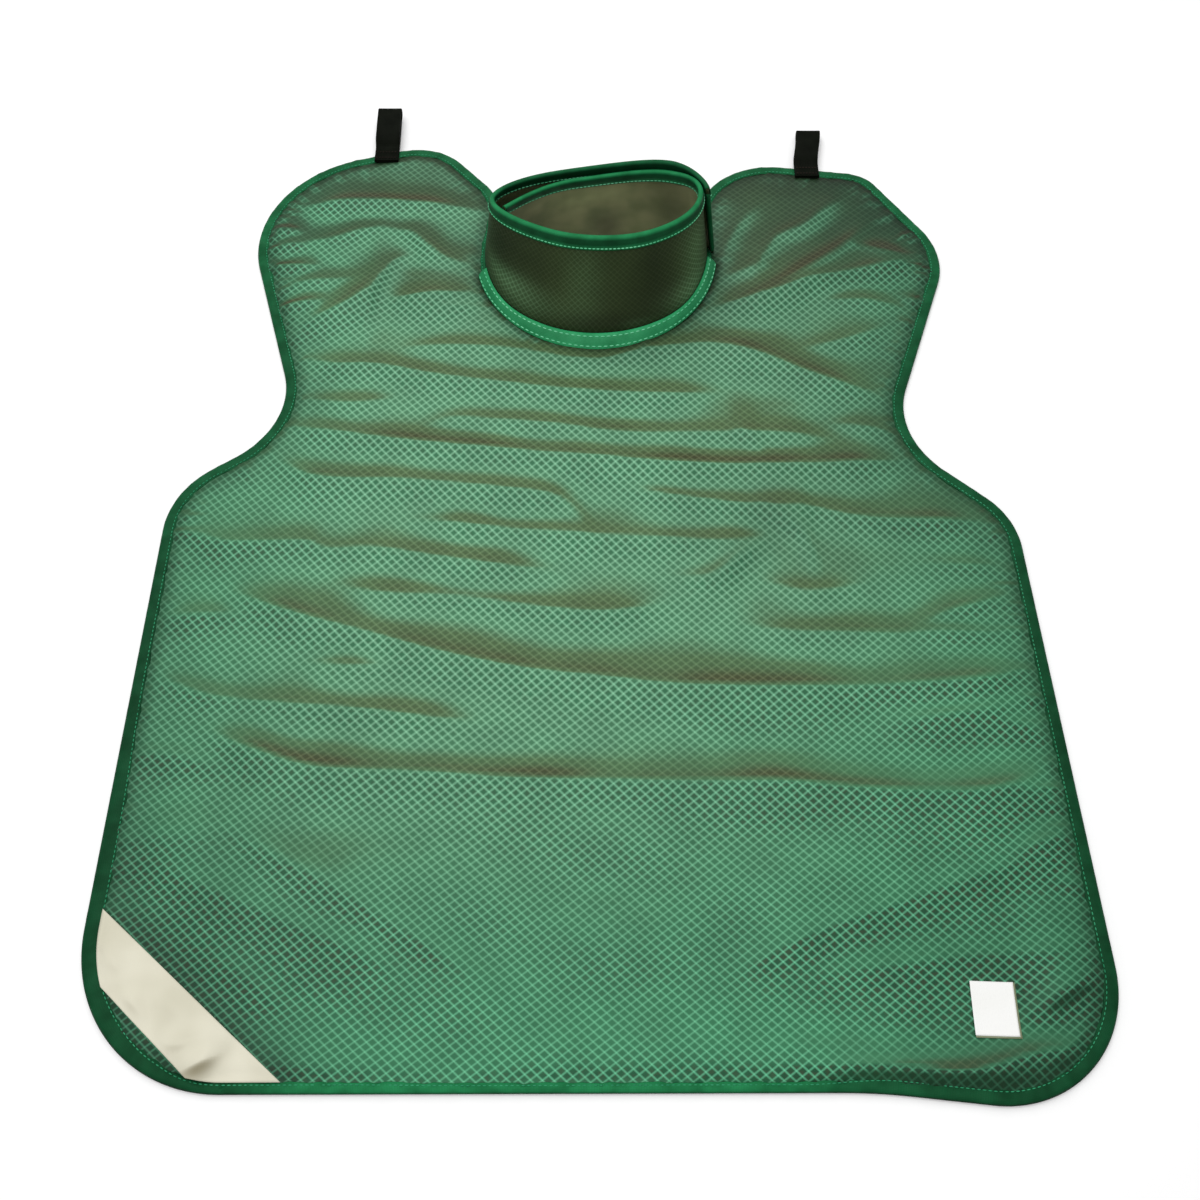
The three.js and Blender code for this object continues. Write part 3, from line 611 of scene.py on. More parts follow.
# Materials
class Look:
    """A procedural material round one Principled shader."""

    def __init__(self, name, **settings):
        self.material = bpy.data.materials.new(name)
        self.material.use_nodes = True
        self.tree = self.material.node_tree
        self.shader = self.tree.nodes["Principled BSDF"]
        for socket, value in settings.items():
            self.shader.inputs[socket.replace("_", " ")].default_value = value

    def feed(self, socket, source):
        if isinstance(source, bpy.types.NodeSocket):
            self.tree.links.new(source, socket)
        else:
            socket.default_value = source

    def node(self, kind, inputs=(), **settings):
        made = self.tree.nodes.new("ShaderNode" + kind)
        for key, value in settings.items():
            setattr(made, key, value)
        for socket, source in inputs:
            self.feed(made.inputs[socket], source)
        return made

    def math(self, operation, *values):
        return self.node("Math", list(enumerate(values)), operation=operation).outputs[0]

    def field(self, name, output="Vector"):
        return self.node("Attribute", attribute_name=name).outputs[output]

    def split(self, vector):
        return self.node("SeparateXYZ", [(0, vector)]).outputs

    def noise(self, vector, scale, detail):
        inputs = [("Vector", vector), ("Scale", scale), ("Detail", detail)]
        return self.node("TexNoise", inputs).outputs[0]

    def ramp(self, value, low, high, start=0.0, end=1.0):
        sockets = ("Value", "From Min", "From Max", "To Min", "To Max")
        inputs = zip(sockets, (value, low, high, start, end))
        return self.node("MapRange", inputs, interpolation_type="SMOOTHSTEP").outputs[0]

    def blend(self, share, first, second, kind="MIX"):
        made = self.node("Mix", data_type="RGBA", blend_type=kind)
        for socket, source in ((0, share), (6, first), (7, second)):
            self.feed(made.inputs[socket], source)
        return made.outputs[2]

    def grey(self, value):
        return self.node("CombineColor", [(k, value) for k in range(3)]).outputs[0]

    def shaded(self, colour, share):
        return self.blend(1.0, colour, self.grey(share), "MULTIPLY")

    def bump(self, height, distance, strength):
        inputs = [("Strength", strength), ("Distance", distance), ("Height", height)]
        return self.node("Bump", inputs).outputs[0]

    def finish(self, colour, roughness=None, normal=None):
        for name, source in (("Base Color", colour), ("Roughness", roughness), ("Normal", normal)):
            if source is not None:
                self.feed(self.shader.inputs[name], source)
        return self.material


def rgb(red, green, blue):
    """A colour given as it shows on a screen, 0 to 255."""
    share = np.array([red, green, blue]) / 255
    linear = np.where(share <= 0.04045, share / 12.92, ((share + 0.055) / 1.055) ** 2.4)
    return (*map(float, linear), 1.0)


# Ripstop: a lean is how steeply the cloth rises up the apron, and a tone comes in over each pair; the tones
# that lean picks are painted sheen and painted shade
AWAY_LEAN, TOWARDS_LEAN = (0.01, -0.13), (-0.02, 0.14)
# Painted shade where the cloth falls away steeply (sunk) and where it rises steeply (steep)
SUNK_LEAN, SUNK_SHARE = (-0.12, -0.34), 0.9
STEEP_LEAN, STEEP_SHARE = (0.26, 0.6), 0.6
# Painted shade beside the binding
RIM_INSET, RIM_SHARE = (8.0, 20.0), 0.5  # the cloth is darker beside the binding
MOTTLE_SHARES = (0.6, 0.2)  # how brown the cells facing the hem are, at the hem and at the chest
GRAIN = {
    # scale, detail
    "threads": (9.0, 2.0), "mottle": (1.7, 1.0), "tone": (0.22, 4.0), "worn": (0.5, 3.0),
    "plain": (0.16, 2.0),
}
FINE_DETAIL = 3.0  # of plain cloth's grain, whose scale is given with each cloth
NOISE_SPAN = (0.3, 0.7)  # the values of noise that count as lowest and as highest
# Ramps: the values that each starts and ends at, and what it then goes from and to
MOTTLE_RAMP = (0.42, 0.62, 0.0, 1.0)  # the brown in ripstop's cells
THREAD_RAMP = (0.2, 0.7, 0.8, 1.0)  # how strongly its raised threads show
GREEN_RAMP = (0.0, 0.6, 0.3, 0.0)  # how green its sunk cloth stays, from the hem up
TONE_RAMP = (*NOISE_SPAN, 0.92, 1.07)  # how its tone varies over the cloth
WORN_RAMP = (0.2, 0.8, 0.0, 1.0)  # the lighter patches of tape
RIB_RAMP = (0.1, 0.7, 0.4, 0.0)  # the dark between its ribs
FINE_RAMP = (0.35, 0.7, 0.0, 0.25)  # the dark in plain cloth's grain
WRINKLE_SHADE_RAMP = (0.12, 0.9, 0.0, 0.9)  # its painted shade in wrinkles, by its lean
GRID_RISE, THREAD_RISE = 0.8, 0.35  # how much ripstop's diamonds and fine threads stand up
CROSS_RIBS = 0.6  # how much the ribs along a tape stand up beside those across it
RIPSTOP_ROUGH, TAPE_ROUGH, PLAIN_ROUGH = (0.50, 0.40), (0.52, 0.40), (0.48, 0.62)
# Relief in metres, and its strength
RIPSTOP_RELIEF, TAPE_RELIEF, PLAIN_RELIEF = (0.0003, 0.8), (0.00025, 0.7), (0.0002, 0.6)
LINE_HALF = (0.24, 0.30)  # half a thread's width in diamonds, at the hem and at the chest
SECOND_LINE = 0.9  # the threads one way show less than those the other way
CROSSING = 0.4  # how much brighter the threads' crossings are


def ripstop(name, tones, deep, brown, painted_shade_colour, **settings):
    """Ripstop nylon: fine cloth with raised threads in diamonds. Tones are pairs, without and with the
    painted sheen (as at the hem and at the chest), for cell and thread lying flat, then facing the hem with
    painted highlights, then facing away in painted shade; deep gives cell and thread in painted shade where
    the cloth falls away most steeply, and painted_shade_colour is painted shade on steep rises and beside
    the binding."""
    look = Look(name, **settings)
    cloth = look.field("cloth")
    x, y, _ = look.split(cloth)
    lean = look.field("lean", "Fac")
    painted_sheen = look.field("painted_sheen", "Fac")
    phases = [look.math("ADD", x, y), look.math("SUBTRACT", x, y)]
    half = look.ramp(painted_sheen, 0.0, 1.0, *LINE_HALF)
    masks = [look.ramp(look.math("PINGPONG", p, 0.5), half, 0.0) for p in phases]
    either = look.math("MAXIMUM", masks[0], look.math("MULTIPLY", masks[1], SECOND_LINE))
    both = look.math("MULTIPLY", look.math("MULTIPLY", *masks), CROSSING)
    grid = look.math("ADD", look.math("MULTIPLY", either, 1 - CROSSING), both)
    threads = look.noise(cloth, *GRAIN["threads"])
    # By its lean the cloth picks lit and shaded copies of its tones: painted highlights facing the hem,
    # painted shade facing away
    away = look.ramp(lean, *AWAY_LEAN)
    towards = look.ramp(lean, *TOWARDS_LEAN)
    mixed = [look.blend(painted_sheen, *pair) for pair in tones]
    flat_cell, flat_thread, near_cell, near_thread, slack_cell, slack_thread = mixed
    mottle = look.ramp(look.noise(cloth, *GRAIN["mottle"]), *MOTTLE_RAMP)
    mottle = look.math("MULTIPLY", mottle, look.ramp(painted_sheen, 0.0, 1.0, *MOTTLE_SHARES))
    body = look.blend(towards, flat_cell, look.blend(mottle, near_cell, brown))
    body = look.blend(away, body, slack_cell)
    thread = look.blend(away, look.blend(towards, flat_thread, near_thread), slack_thread)
    share = look.math("MULTIPLY", grid, look.ramp(threads, *THREAD_RAMP))
    colour = look.blend(share, body, thread)
    # Painted shade where the cloth falls away or rises steeply, and beside the binding
    sunk = look.blend(look.ramp(painted_sheen, *GREEN_RAMP), look.blend(share, *deep), slack_cell)
    colour = look.blend(look.ramp(lean, *SUNK_LEAN, 0.0, SUNK_SHARE), colour, sunk)
    colour = look.blend(look.ramp(lean, *STEEP_LEAN, 0.0, STEEP_SHARE), colour, painted_shade_colour)
    rim = look.ramp(look.field("inset", "Fac"), *RIM_INSET, RIM_SHARE, 0.0)
    colour = look.blend(rim, colour, painted_shade_colour)
    tone = look.ramp(look.noise(cloth, *GRAIN["tone"]), *TONE_RAMP)
    colour = look.shaded(colour, look.math("MULTIPLY", tone, look.field("shade", "Fac")))
    raised = look.math("MULTIPLY", grid, GRID_RISE)
    weave = look.math("ADD", raised, look.math("MULTIPLY", threads, THREAD_RISE))
    rough = look.ramp(grid, 0.0, 1.0, *RIPSTOP_ROUGH)
    return look.finish(colour, rough, look.bump(weave, *RIPSTOP_RELIEF))


def tape_look(name, dark, light, ribs=0.9, **settings):
    """Woven tape: fine ribs across it and worn, lighter patches. Its cloth field is in weave pitches."""
    look = Look(name, **settings)
    cloth = look.field("cloth")
    x, y, _ = look.split(cloth)
    rib = look.math("PINGPONG", look.math("MULTIPLY", x, WEAVE_PITCH / ribs), 0.5)
    cross = look.math("PINGPONG", look.math("MULTIPLY", y, WEAVE_PITCH / ribs), 0.5)
    weave = look.math("ADD", rib, look.math("MULTIPLY", cross, CROSS_RIBS))
    worn = look.noise(cloth, *GRAIN["worn"])
    colour = look.blend(look.ramp(worn, *WORN_RAMP), dark, light)
    colour = look.blend(look.ramp(weave, *RIB_RAMP), colour, dark)
    colour = look.shaded(colour, look.field("shade", "Fac"))
    rough = look.ramp(worn, *NOISE_SPAN, *TAPE_ROUGH)
    return look.finish(colour, rough, look.bump(weave, *TAPE_RELIEF))


def plain_cloth(name, dark, light, grain, hollow=None, shaded=False, **settings):
    """Close smooth cloth with a faint grain and uneven tone; hollow is painted shade where it turns under,
    in its wrinkles.
    """
    look = Look(name, **settings)
    cloth = look.field("cloth")
    tone = look.noise(cloth, *GRAIN["plain"])
    fine = look.noise(cloth, grain, FINE_DETAIL)
    colour = look.blend(look.ramp(tone, *NOISE_SPAN), dark, light)
    colour = look.blend(look.ramp(fine, *FINE_RAMP), colour, dark)
    if hollow:
        colour = look.blend(look.ramp(look.field("lean", "Fac"), *WRINKLE_SHADE_RAMP), colour, hollow)
    if shaded:
        colour = look.shaded(colour, look.field("shade", "Fac"))
    rough = look.ramp(fine, *NOISE_SPAN, *PLAIN_ROUGH)
    return look.finish(colour, rough, look.bump(fine, *PLAIN_RELIEF))


SHEEN = {"Sheen_Weight": 0.02, "Sheen_Roughness": 0.4}
# Ripstop tones in rows: cell and thread lying flat, then facing the hem with painted highlights on the
# threads, then facing away in painted shade
NYLON = [
    # without the painted sheen (as at the hem), with it (as at the chest)
    (rgb(44, 108, 74), rgb(68, 122, 88)),
    (rgb(104, 184, 140), rgb(136, 194, 154)),
    (rgb(24, 74, 48), rgb(50, 110, 76)),
    (rgb(106, 200, 154), rgb(142, 204, 164)),
    (rgb(58, 120, 84), rgb(70, 97, 61)),
    (rgb(82, 148, 110), rgb(106, 137, 94)),
]
nylon = ripstop(
    "ripstop_nylon", NYLON, (rgb(62, 62, 36), rgb(100, 102, 70)), rgb(56, 66, 46), rgb(14, 60, 32),
    Sheen_Tint=(0.75, 1.0, 0.85, 1.0), Specular_IOR_Level=0.2, **SHEEN,
)
COLLAR_NYLON = [
    # in the shade, where it shines
    (rgb(44, 56, 30), rgb(70, 98, 64)),
    (rgb(58, 70, 42), rgb(108, 146, 106)),
]
collar_deep = [pair[0] for pair in COLLAR_NYLON]
collar_nylon = ripstop(
    "collar_nylon", COLLAR_NYLON * 3, collar_deep, rgb(48, 48, 30), rgb(18, 26, 14),
    Sheen_Tint=(0.6, 1.0, 0.75, 1.0), Specular_IOR_Level=0.12, **SHEEN,
)
lining = plain_cloth(
    "collar_lining", rgb(112, 120, 80), rgb(144, 146, 104), 14.0, shaded=True, Specular_IOR_Level=0.2
)
tape = tape_look("binding_tape", rgb(11, 68, 37), rgb(23, 96, 57), Specular_IOR_Level=0.08)
neck_green = tape_look("neck_tape", rgb(32, 132, 80), rgb(56, 166, 108), Specular_IOR_Level=0.15)
thread = plain_cloth("stitch_thread", rgb(36, 132, 90), rgb(60, 160, 114), 6.0, Specular_IOR_Level=0.2)
pale_thread = plain_cloth("pale_thread", rgb(84, 190, 138), rgb(128, 220, 172), 6.0, Specular_IOR_Level=0.2)
dark_thread = plain_cloth("dark_thread", rgb(30, 22, 18), rgb(50, 38, 30), 6.0, Specular_IOR_Level=0.1)
webbing = tape_look("webbing", rgb(7, 10, 5), rgb(15, 19, 11), 1.4, Specular_IOR_Level=0.03)
# Satin's hollow colour is painted shade in its wrinkles
satin = plain_cloth(
    "satin", rgb(212, 208, 186), rgb(230, 226, 206), 18.0, rgb(132, 122, 90), Specular_IOR_Level=0.4
)
label = plain_cloth("label_paper", rgb(248, 248, 244), rgb(254, 254, 252), 20.0)
# olive that shows round the label: partly its edging, partly painted shadow
sleeve_and_shadow = plain_cloth("label_sleeve_and_shadow", rgb(120, 130, 96), rgb(150, 156, 124), 20.0)
pile = plain_cloth("hook_and_loop", rgb(18, 20, 17), rgb(40, 44, 38), 9.0)


# Pieces, all fixed to the part's one body
def ride(made, slot, *nodes):
    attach(made, "root")
    if nodes:
        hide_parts(*nodes)
    return made


# Painted sheen and shade over the panel: a row holds over a stretch of x, one of x to both sides and one of
# d, each from where it starts to where it is full. None is everywhere.
SHEEN_LEAN = [
    # lean, x, sides, d
    (0.02, None, None, (300, 40)),
    (0.02, None, (170, 300), (460, 400)),
    (-0.035, None, None, (560, 670)),
    (-0.055, (80, 160), None, (560, 670)),
    (-0.04, (40, 200), None, (250, 380)),
    (0.04, (40, 200), None, (560, 670)),
]
SHEEN_SPOTS = [
    # lean, at, radius
    (0.07, (-262, 60), 90),
    (0.07, (240, 40), 110),
]
PAINTED_SHEEN_LOST = [
    # share lost, x, sides, d
    (1.0, None, None, (260, 0)),
    (0.6, None, (130, 290), None),
    (0.5, (-50, 200), None, (330, 200)),
    (0.2, None, None, (580, 680)),
]
PAINTED_SHADE_STRETCHES = [
    # dark, x, sides, d
    (0.2, (60, 220), None, (230, 420)),
    (0.12, None, None, (690, 760)),
    (0.15, (90, 190), None, (590, 690)),
]
PAINTED_SHADE_SPOTS = [
    # dark, at, radius
    (0.22, (92, 590), 55),
    (0.1, (48, 562), 34),
    (0.15, (115, 375), 50),
    (0.07, (-230, 185), 110),
    (0.17, (-148, 614), 36),
    (0.16, (-262, 70), 90),
    (0.2, (258, 45), 70),
]
# Painted shade by the rim and over the shoulders' slack cloth, and painted light along the hem
RIM_PAINTED_SHADE = {"dark": 0.2, "inset": (48, 4)}
LEAST_SHADE = 0.3
HEM_LIGHT = {"more": 0.14, "d": (90, 20), "x": 10, "sides": (210, 110)}
HEM_FLAT = {"d": (60, 20), "right": (165, 100), "left": (-230, -130), "lean": 0.6, "inset": 14}
SHOULDER_PAINTED_SHADE = {"dark": 0.45, "d": (570, 690), "lean": (0.04, -0.12), "deep": (-0.14, -0.3), "deep_share": 0.5}
PATCH_PAINTED_SHADE = {"dark": 0.4, "wide": 13, "start": (-0.05, 0.3), "end": (1.1, 0.95)}
NECK_TAPE_PAINTED_SHADOW = {"dark": 0.55, "wide": 4.5, "off": 2, "steps": 200, "x": 120, "d": 530}


def stretches(table, x, d):
    """The strength of each row of a table over the panel."""
    for strength, across, sides, up in table:
        held = ((x, across), (np.abs(x), sides), (d, up))
        yield strength * math.prod(smooth(value, *ends) for value, ends in held if ends)


def spots(table, x, d):
    """The sum of the round spots of a table."""
    return sum(s * np.exp(-((x - at[0]) ** 2 + (d - at[1]) ** 2) / radius**2) for s, at, radius in table)


def sheen_bias(x, d):
    """The hem and sides catch the light more like a slope towards the viewer, the shoulders less."""
    return sum(stretches(SHEEN_LEAN, x, d)) + spots(SHEEN_SPOTS, x, d)


def panel_painted_sheen(x, d):
    """Painted sheen: 0 where the weave shows as deep as at the hem, 1 where it shows as washed out as at the
    chest.
    """
    return math.prod(1 - lost for lost in stretches(PAINTED_SHEEN_LOST, x, d))


def hem_middle(x, d):
    """The stretch along the hem that lies flat and catches the light."""
    return smooth(d, *HEM_FLAT["d"]) * smooth(x, *HEM_FLAT["right"]) * smooth(x, *HEM_FLAT["left"])


def patch_painted_shade(x, d):
    """Painted shade: 1 along the patch's upper edge, dying away from it."""
    (x1, d1), (x2, d2) = PATCH_TOP
    length = math.dist(*PATCH_TOP)
    along = ((x - x1) * (x2 - x1) + (d - d1) * (d2 - d1)) / length**2
    apart = ((x - x1) * (d1 - d2) + (d - d1) * (x2 - x1)) / length
    ends = smooth(along, *PATCH_PAINTED_SHADE["start"]) * smooth(along, *PATCH_PAINTED_SHADE["end"])
    return np.exp(-((apart / PATCH_PAINTED_SHADE["wide"]) ** 2)) * ends


def neck_tape_painted_shadow(x, d):
    """Painted shadow: 1 along the neck tape's outer edge, dying away from it."""
    angle = np.radians(np.linspace(NECK_TAPE["from"], NECK_TAPE["to"], NECK_TAPE_PAINTED_SHADOW["steps"]))
    line = oval_point(COLLAR_BASE, angle, np.full_like(angle, NECK_TAPE["reach"] + NECK_TAPE_PAINTED_SHADOW["off"]))
    shade = np.zeros_like(x)
    close = (np.abs(x - COLLAR_BASE["x"]) < NECK_TAPE_PAINTED_SHADOW["x"]) & (d > NECK_TAPE_PAINTED_SHADOW["d"])
    points = np.stack([x[close], d[close]], 1)
    apart = np.linalg.norm(points[:, None] - line[None], axis=-1).min(1)
    shade[close] = np.exp(-((apart / NECK_TAPE_PAINTED_SHADOW["wide"]) ** 2))
    return shade


def panel_painted_shade(x, d, inset, lean):
    """Painted shade over the cloth: less bright on the right, at the shoulders, by the rim and in spots,
    with painted light along the hem.
    """
    hem = smooth(d, *HEM_LIGHT["d"]) * smooth(np.abs(x - HEM_LIGHT["x"]), *HEM_LIGHT["sides"])
    rim = smooth(inset, *RIM_PAINTED_SHADE["inset"]) * (1 - hem)
    shade = 1 - sum(stretches(PAINTED_SHADE_STRETCHES, x, d)) - RIM_PAINTED_SHADE["dark"] * rim - spots(PAINTED_SHADE_SPOTS, x, d)
    shade = np.clip(shade, LEAST_SHADE, 1) + HEM_LIGHT["more"] * hem
    slack = smooth(lean, *SHOULDER_PAINTED_SHADE["lean"]) * (1 - SHOULDER_PAINTED_SHADE["deep_share"] * smooth(lean, *SHOULDER_PAINTED_SHADE["deep"]))
    shade = shade * (1 - SHOULDER_PAINTED_SHADE["dark"] * smooth(d, *SHOULDER_PAINTED_SHADE["d"]) * slack)
    shade = shade * (1 - PATCH_PAINTED_SHADE["dark"] * patch_painted_shade(x, d))
    return shade * (1 - NECK_TAPE_PAINTED_SHADOW["dark"] * neck_tape_painted_shadow(x, d))


def panel_grid():
    """The panel's points and square faces, with the sides of faces along its rim, drawn to the edge."""
    cell = PANEL["cell"]
    x, d = np.meshgrid(*(np.arange(low, high + cell, cell) for low, high in zip(edge.min(0), edge.max(0))))
    inset, _ = edge_field(x, d)
    faces = grid_faces(*x.shape)
    kept = faces[(inset.ravel()[faces] > PANEL["rim"] - cell / 2).all(1)]
    used, index = np.unique(kept, return_inverse=True)
    faces = index.reshape(-1, 4)
    points = np.stack([x.ravel()[used], d.ravel()[used]], 1)
    sides = np.concatenate([faces[:, [k, (k + 1) % 4]] for k in range(4)])
    _, first, count = np.unique(np.sort(sides, 1), axis=0, return_index=True, return_counts=True)
    rim = sides[first[count == 1]]
    on_rim = np.unique(rim)
    near = ((points[on_rim][:, None] - edge[None]) ** 2).sum(-1).argmin(1)
    ahead = right_of(edge_out[near])
    slide = ((points[on_rim] - edge[near]) * ahead).sum(1)
    points[on_rim] = edge[near] + ahead * slide[:, None] - edge_out[near] * PANEL["rim"]
    return points, faces, rim


def make_panel():
    points, faces, rim = panel_grid()
    x, d = points.T
    height, inset = cloth_height(x, d)
    rise = cloth_height(x, d + SLOPE_HALF)[0] - cloth_height(x, d - SLOPE_HALF)[0]
    flat_hem = hem_middle(x, d)
    lean = (rise / (2 * SLOPE_HALF) + sheen_bias(x, d)) * (1 - HEM_FLAT["lean"] * flat_hem)
    count = len(points)
    verts = np.concatenate([np.column_stack([points, z]) for z in panel_sides(height, inset)])
    walls = np.stack([rim[:, 0], rim[:, 1], rim[:, 1] + count, rim[:, 0] + count], 1)
    every = np.concatenate([faces, faces[:, ::-1] + count, walls])
    values = {
        "lean": lean, "inset": inset + HEM_FLAT["inset"] * flat_hem, "painted_sheen": panel_painted_sheen(x, d),
        "shade": panel_painted_shade(x, d, inset, lean),
    }
    fields = [("cloth", np.tile(panel_field(x, d), (2, 1)))]
    fields += [(name, np.tile(value, 2)) for name, value in values.items()]
    made = piece("apron_panel_cloth", verts, every, [nylon], fields)
    area = len(faces) * (PANEL["cell"] * MM) ** 2
    return ride(made, "ripstop_nylon", "apron_panel"), area


def ring_fields(rows, columns, along, across, shade=1.0):
    cloth = cloth_field(np.repeat(along, columns), np.tile(across, rows))
    return [("cloth", cloth), ("shade", np.broadcast_to(shade, (rows, columns)).ravel())]


def tube(name, verts, along, across, look, slot, *nodes, shade=1.0):
    """A tube through a grid of points, each row of them once round it, closed at its two ends."""
    size = verts.shape[:2]
    fields = ring_fields(*size, along, across, shade)
    return ride(piece(name, verts.reshape(-1, 3), tube_faces(*size), [look], fields), slot, *nodes)


def binding_wider():
    """How much wider the tape lies at each point of the edge."""
    x, d = edge.T
    left = smooth(x, *BINDING_LEFT["x"]) * smooth(d, *BINDING_LEFT["d"])
    hem = smooth(-edge_out[:, 1], *BINDING_HEM["facing"]) * smooth(x, *BINDING_HEM["x"])
    narrower = BINDING_HEM["narrower"] + BINDING_HEM["middle"] * smooth(x, *BINDING_HEM["middle_x"])
    return BINDING_LEFT["wider"] * left * (1 - hem) - narrower * hem


def binding_painted_light(section):
    """Painted light and shade: brighter along the hem and over the shoulders, darker down the sides and on
    the low outer face.
    """
    x, d = edge.T
    low = smooth(-edge_out[:, 1], *FACING_LOW)
    parts = {
        "hem": smooth(-edge_out[:, 1], *FACING_HEM) * hem_middle(x, d),
        "sides": smooth(np.abs(edge_out[:, 0]), *FACING_SIDE) * smooth(d, *BINDING_SIDES),
        "tops": smooth(d, *BINDING_TOPS),
        "corners": low * smooth(np.abs(x), *BINDING_CORNERS),
    }
    shade = 1 + sum(BINDING_PAINTED_LIGHT[name] * part for name, part in parts.items())
    outer = smooth(section[:, 1], *BINDING_OUTER["z"]) * (section[:, 0] < BINDING_OUTER["inset"])
    return shade[:, None] * (1 + BINDING_PAINTED_LIGHT["outer"] * np.outer(low, outer))


def edge_waves(high, counts):
    """Waves of random starts round the edge, each as high as the next."""
    turns = edge_at * 2 * math.pi / edge_length
    return sum(high * np.sin(turns * count + RANDOM.uniform(*WAVE_STARTS)) for count in counts)


def make_binding():
    section = np.array(BINDING_SECTION, float)
    wobble, pinch = (edge_waves(*row) for row in BINDING_WAVES)
    inset = section[:, 0] + np.outer(wobble + binding_wider(), smooth(section[:, 0], *BINDING_BEND["inset"]))
    flat = edge[:, None] - edge_out[:, None] * inset[..., None]
    z = section[:, 1] + np.outer(pinch, smooth(section[:, 1], *BINDING_BEND["z"]))
    verts = np.concatenate([flat, z[..., None]], -1).reshape(-1, 3)
    size = len(edge), len(section)
    fields = ring_fields(*size, edge_at, run_along(section), binding_painted_light(section))
    made = piece("edge_binding_tape", verts, grid_faces(*size, True, True), [tape], fields)
    return ride(made, "binding_tape", "edge_binding")


# Stitches
def make_stitches(name, rows, look, slot, larger=1.0):
    """Low beads for rows of stitches, each row giving their places, headings and ways up."""
    places, ahead, up = (np.concatenate(group)[:, None] for group in zip(*rows))
    sides = STITCH["sides"]
    angle = np.linspace(0, 2 * math.pi, sides, endpoint=False)[None, :, None]
    aside = np.cross(up, ahead)
    rings = []
    for size, rise in STITCH_RINGS:
        length = np.cos(angle) * STITCH["length"] * larger / 2 * size
        width = np.sin(angle) * STITCH["width"] * larger / 2 * size
        rings.append(places + ahead * length + aside * width + up * STITCH["high"] * larger * rise)
    verts = np.stack(rings, 1).reshape(-1, 3)
    bead = tube_faces(len(rings), sides)
    faces = [face + k * len(rings) * sides for k in range(len(places)) for face in bead]
    fields = [("cloth", cloth_field(verts[:, 0], verts[:, 1]))]
    return ride(piece(name, verts, faces, [look], fields), slot)


def stitch_row(points, pitch, up=(0.0, 0.0, 1.0)):
    """Stitch places, headings and ways up along an open row of points."""
    run = run_along(points)
    at = np.arange(pitch / 2, run[-1], pitch)
    after, before = (at_runs(at + way * STITCH_HEADING, run, points) for way in (1, -1))
    ahead = unit(after - before)
    return at_runs(at, run, points), ahead, at_runs(at, run, np.broadcast_to(up, points.shape))


def make_binding_stitches():
    row = edge - edge_out * (BINDING_STITCH["inset"] + binding_wider())[:, None]
    row = np.concatenate([row, row[:1]])
    points = np.column_stack([row, np.full(len(row), BINDING_STITCH["z"])])
    rows = [stitch_row(points, STITCH["pitch"])]
    return make_stitches("edge_binding_stitches", rows, thread, "binding_tape")


# The collar
def oval_edge(oval, angle):
    rightward = (1 + np.cos(angle)) / 2
    before = oval["front"] * (1 + oval["throat"] * (1 - rightward) ** 3)
    behind = oval["rear"] * (1 + oval["nape"] * rightward**3)
    depth = np.where(np.sin(angle) < 0, before, behind)
    return np.stack([oval["wide"] * np.cos(angle), depth * np.sin(angle)], -1)


def oval_point(oval, angle, out):
    along = oval_edge(oval, angle + OVAL_STEP) - oval_edge(oval, angle - OVAL_STEP)
    normal = unit(right_of(along))
    point = oval_edge(oval, angle) + normal * np.asarray(out)[..., None]
    x, d = turned(point[..., 0], point[..., 1], oval["turned"])
    return np.stack([x + oval["x"], d + oval["d"]], -1)


def layer_offset(degrees):
    inner = -COLLAR_LAYERS * smooth(degrees, 0, LAYERS_CROSS)
    outer = COLLAR_LAYERS * smooth(LAYERS_CROSS - 360 - degrees, 0, LAYERS_CROSS)
    return inner + outer


def collar_ends(degrees, out):
    angle = np.radians(degrees)
    aside = layer_offset(degrees) + out
    foot = oval_point(COLLAR_BASE, angle, aside)
    rim = oval_point(COLLAR_RIM, angle, aside)
    carried = smooth(degrees, INNER_FROM, COLLAR_TURN[0])[..., None] * np.array(INNER_SHIFT)
    foot, rim = foot + carried, rim + carried
    foot_z = COLLAR_SEWN + (COLLAR_FREE - COLLAR_SEWN) * smooth(foot[..., 1], *COLLAR_FOOT_TURN)
    rim_z = COLLAR_RIM_FRONT + (COLLAR_RIM_REAR - COLLAR_RIM_FRONT) * (1 + np.sin(angle)) / 2
    rim_z = rim_z + FLAP_RISE * smooth(degrees, *FLAP_UP) * smooth(degrees, *FLAP_DOWN)
    top = np.concatenate([rim, rim_z[..., None]], -1)
    return top, np.concatenate([foot, foot_z[..., None]], -1)


def collar_point(degrees, drop, out):
    degrees, drop, out = np.broadcast_arrays(*(np.asarray(v, float) for v in (degrees, drop, out)))
    aside = out + collar_spots(BULGES, degrees, drop)
    top, bottom = collar_ends(degrees, aside)
    slant = np.linalg.norm(top - bottom, axis=-1)
    share = np.minimum(drop / slant, 1)[..., None]
    return top + (bottom - top) * share


def collar_degrees(start, end, step=COLLAR_STEP):
    return np.linspace(start, end, max(2, round(abs(start - end) / step) + 1))


def rim_run(degrees):
    """How far round the rim each angle is."""
    return run_along(collar_point(degrees, 0, 0))


def collar_spots(table, degrees, drop):
    total = 0
    for at, low, strength, wide, deep in table:
        total = total + strength * np.exp(-(((degrees - at) / wide) ** 2) - ((drop - low) / deep) ** 2)
    return total


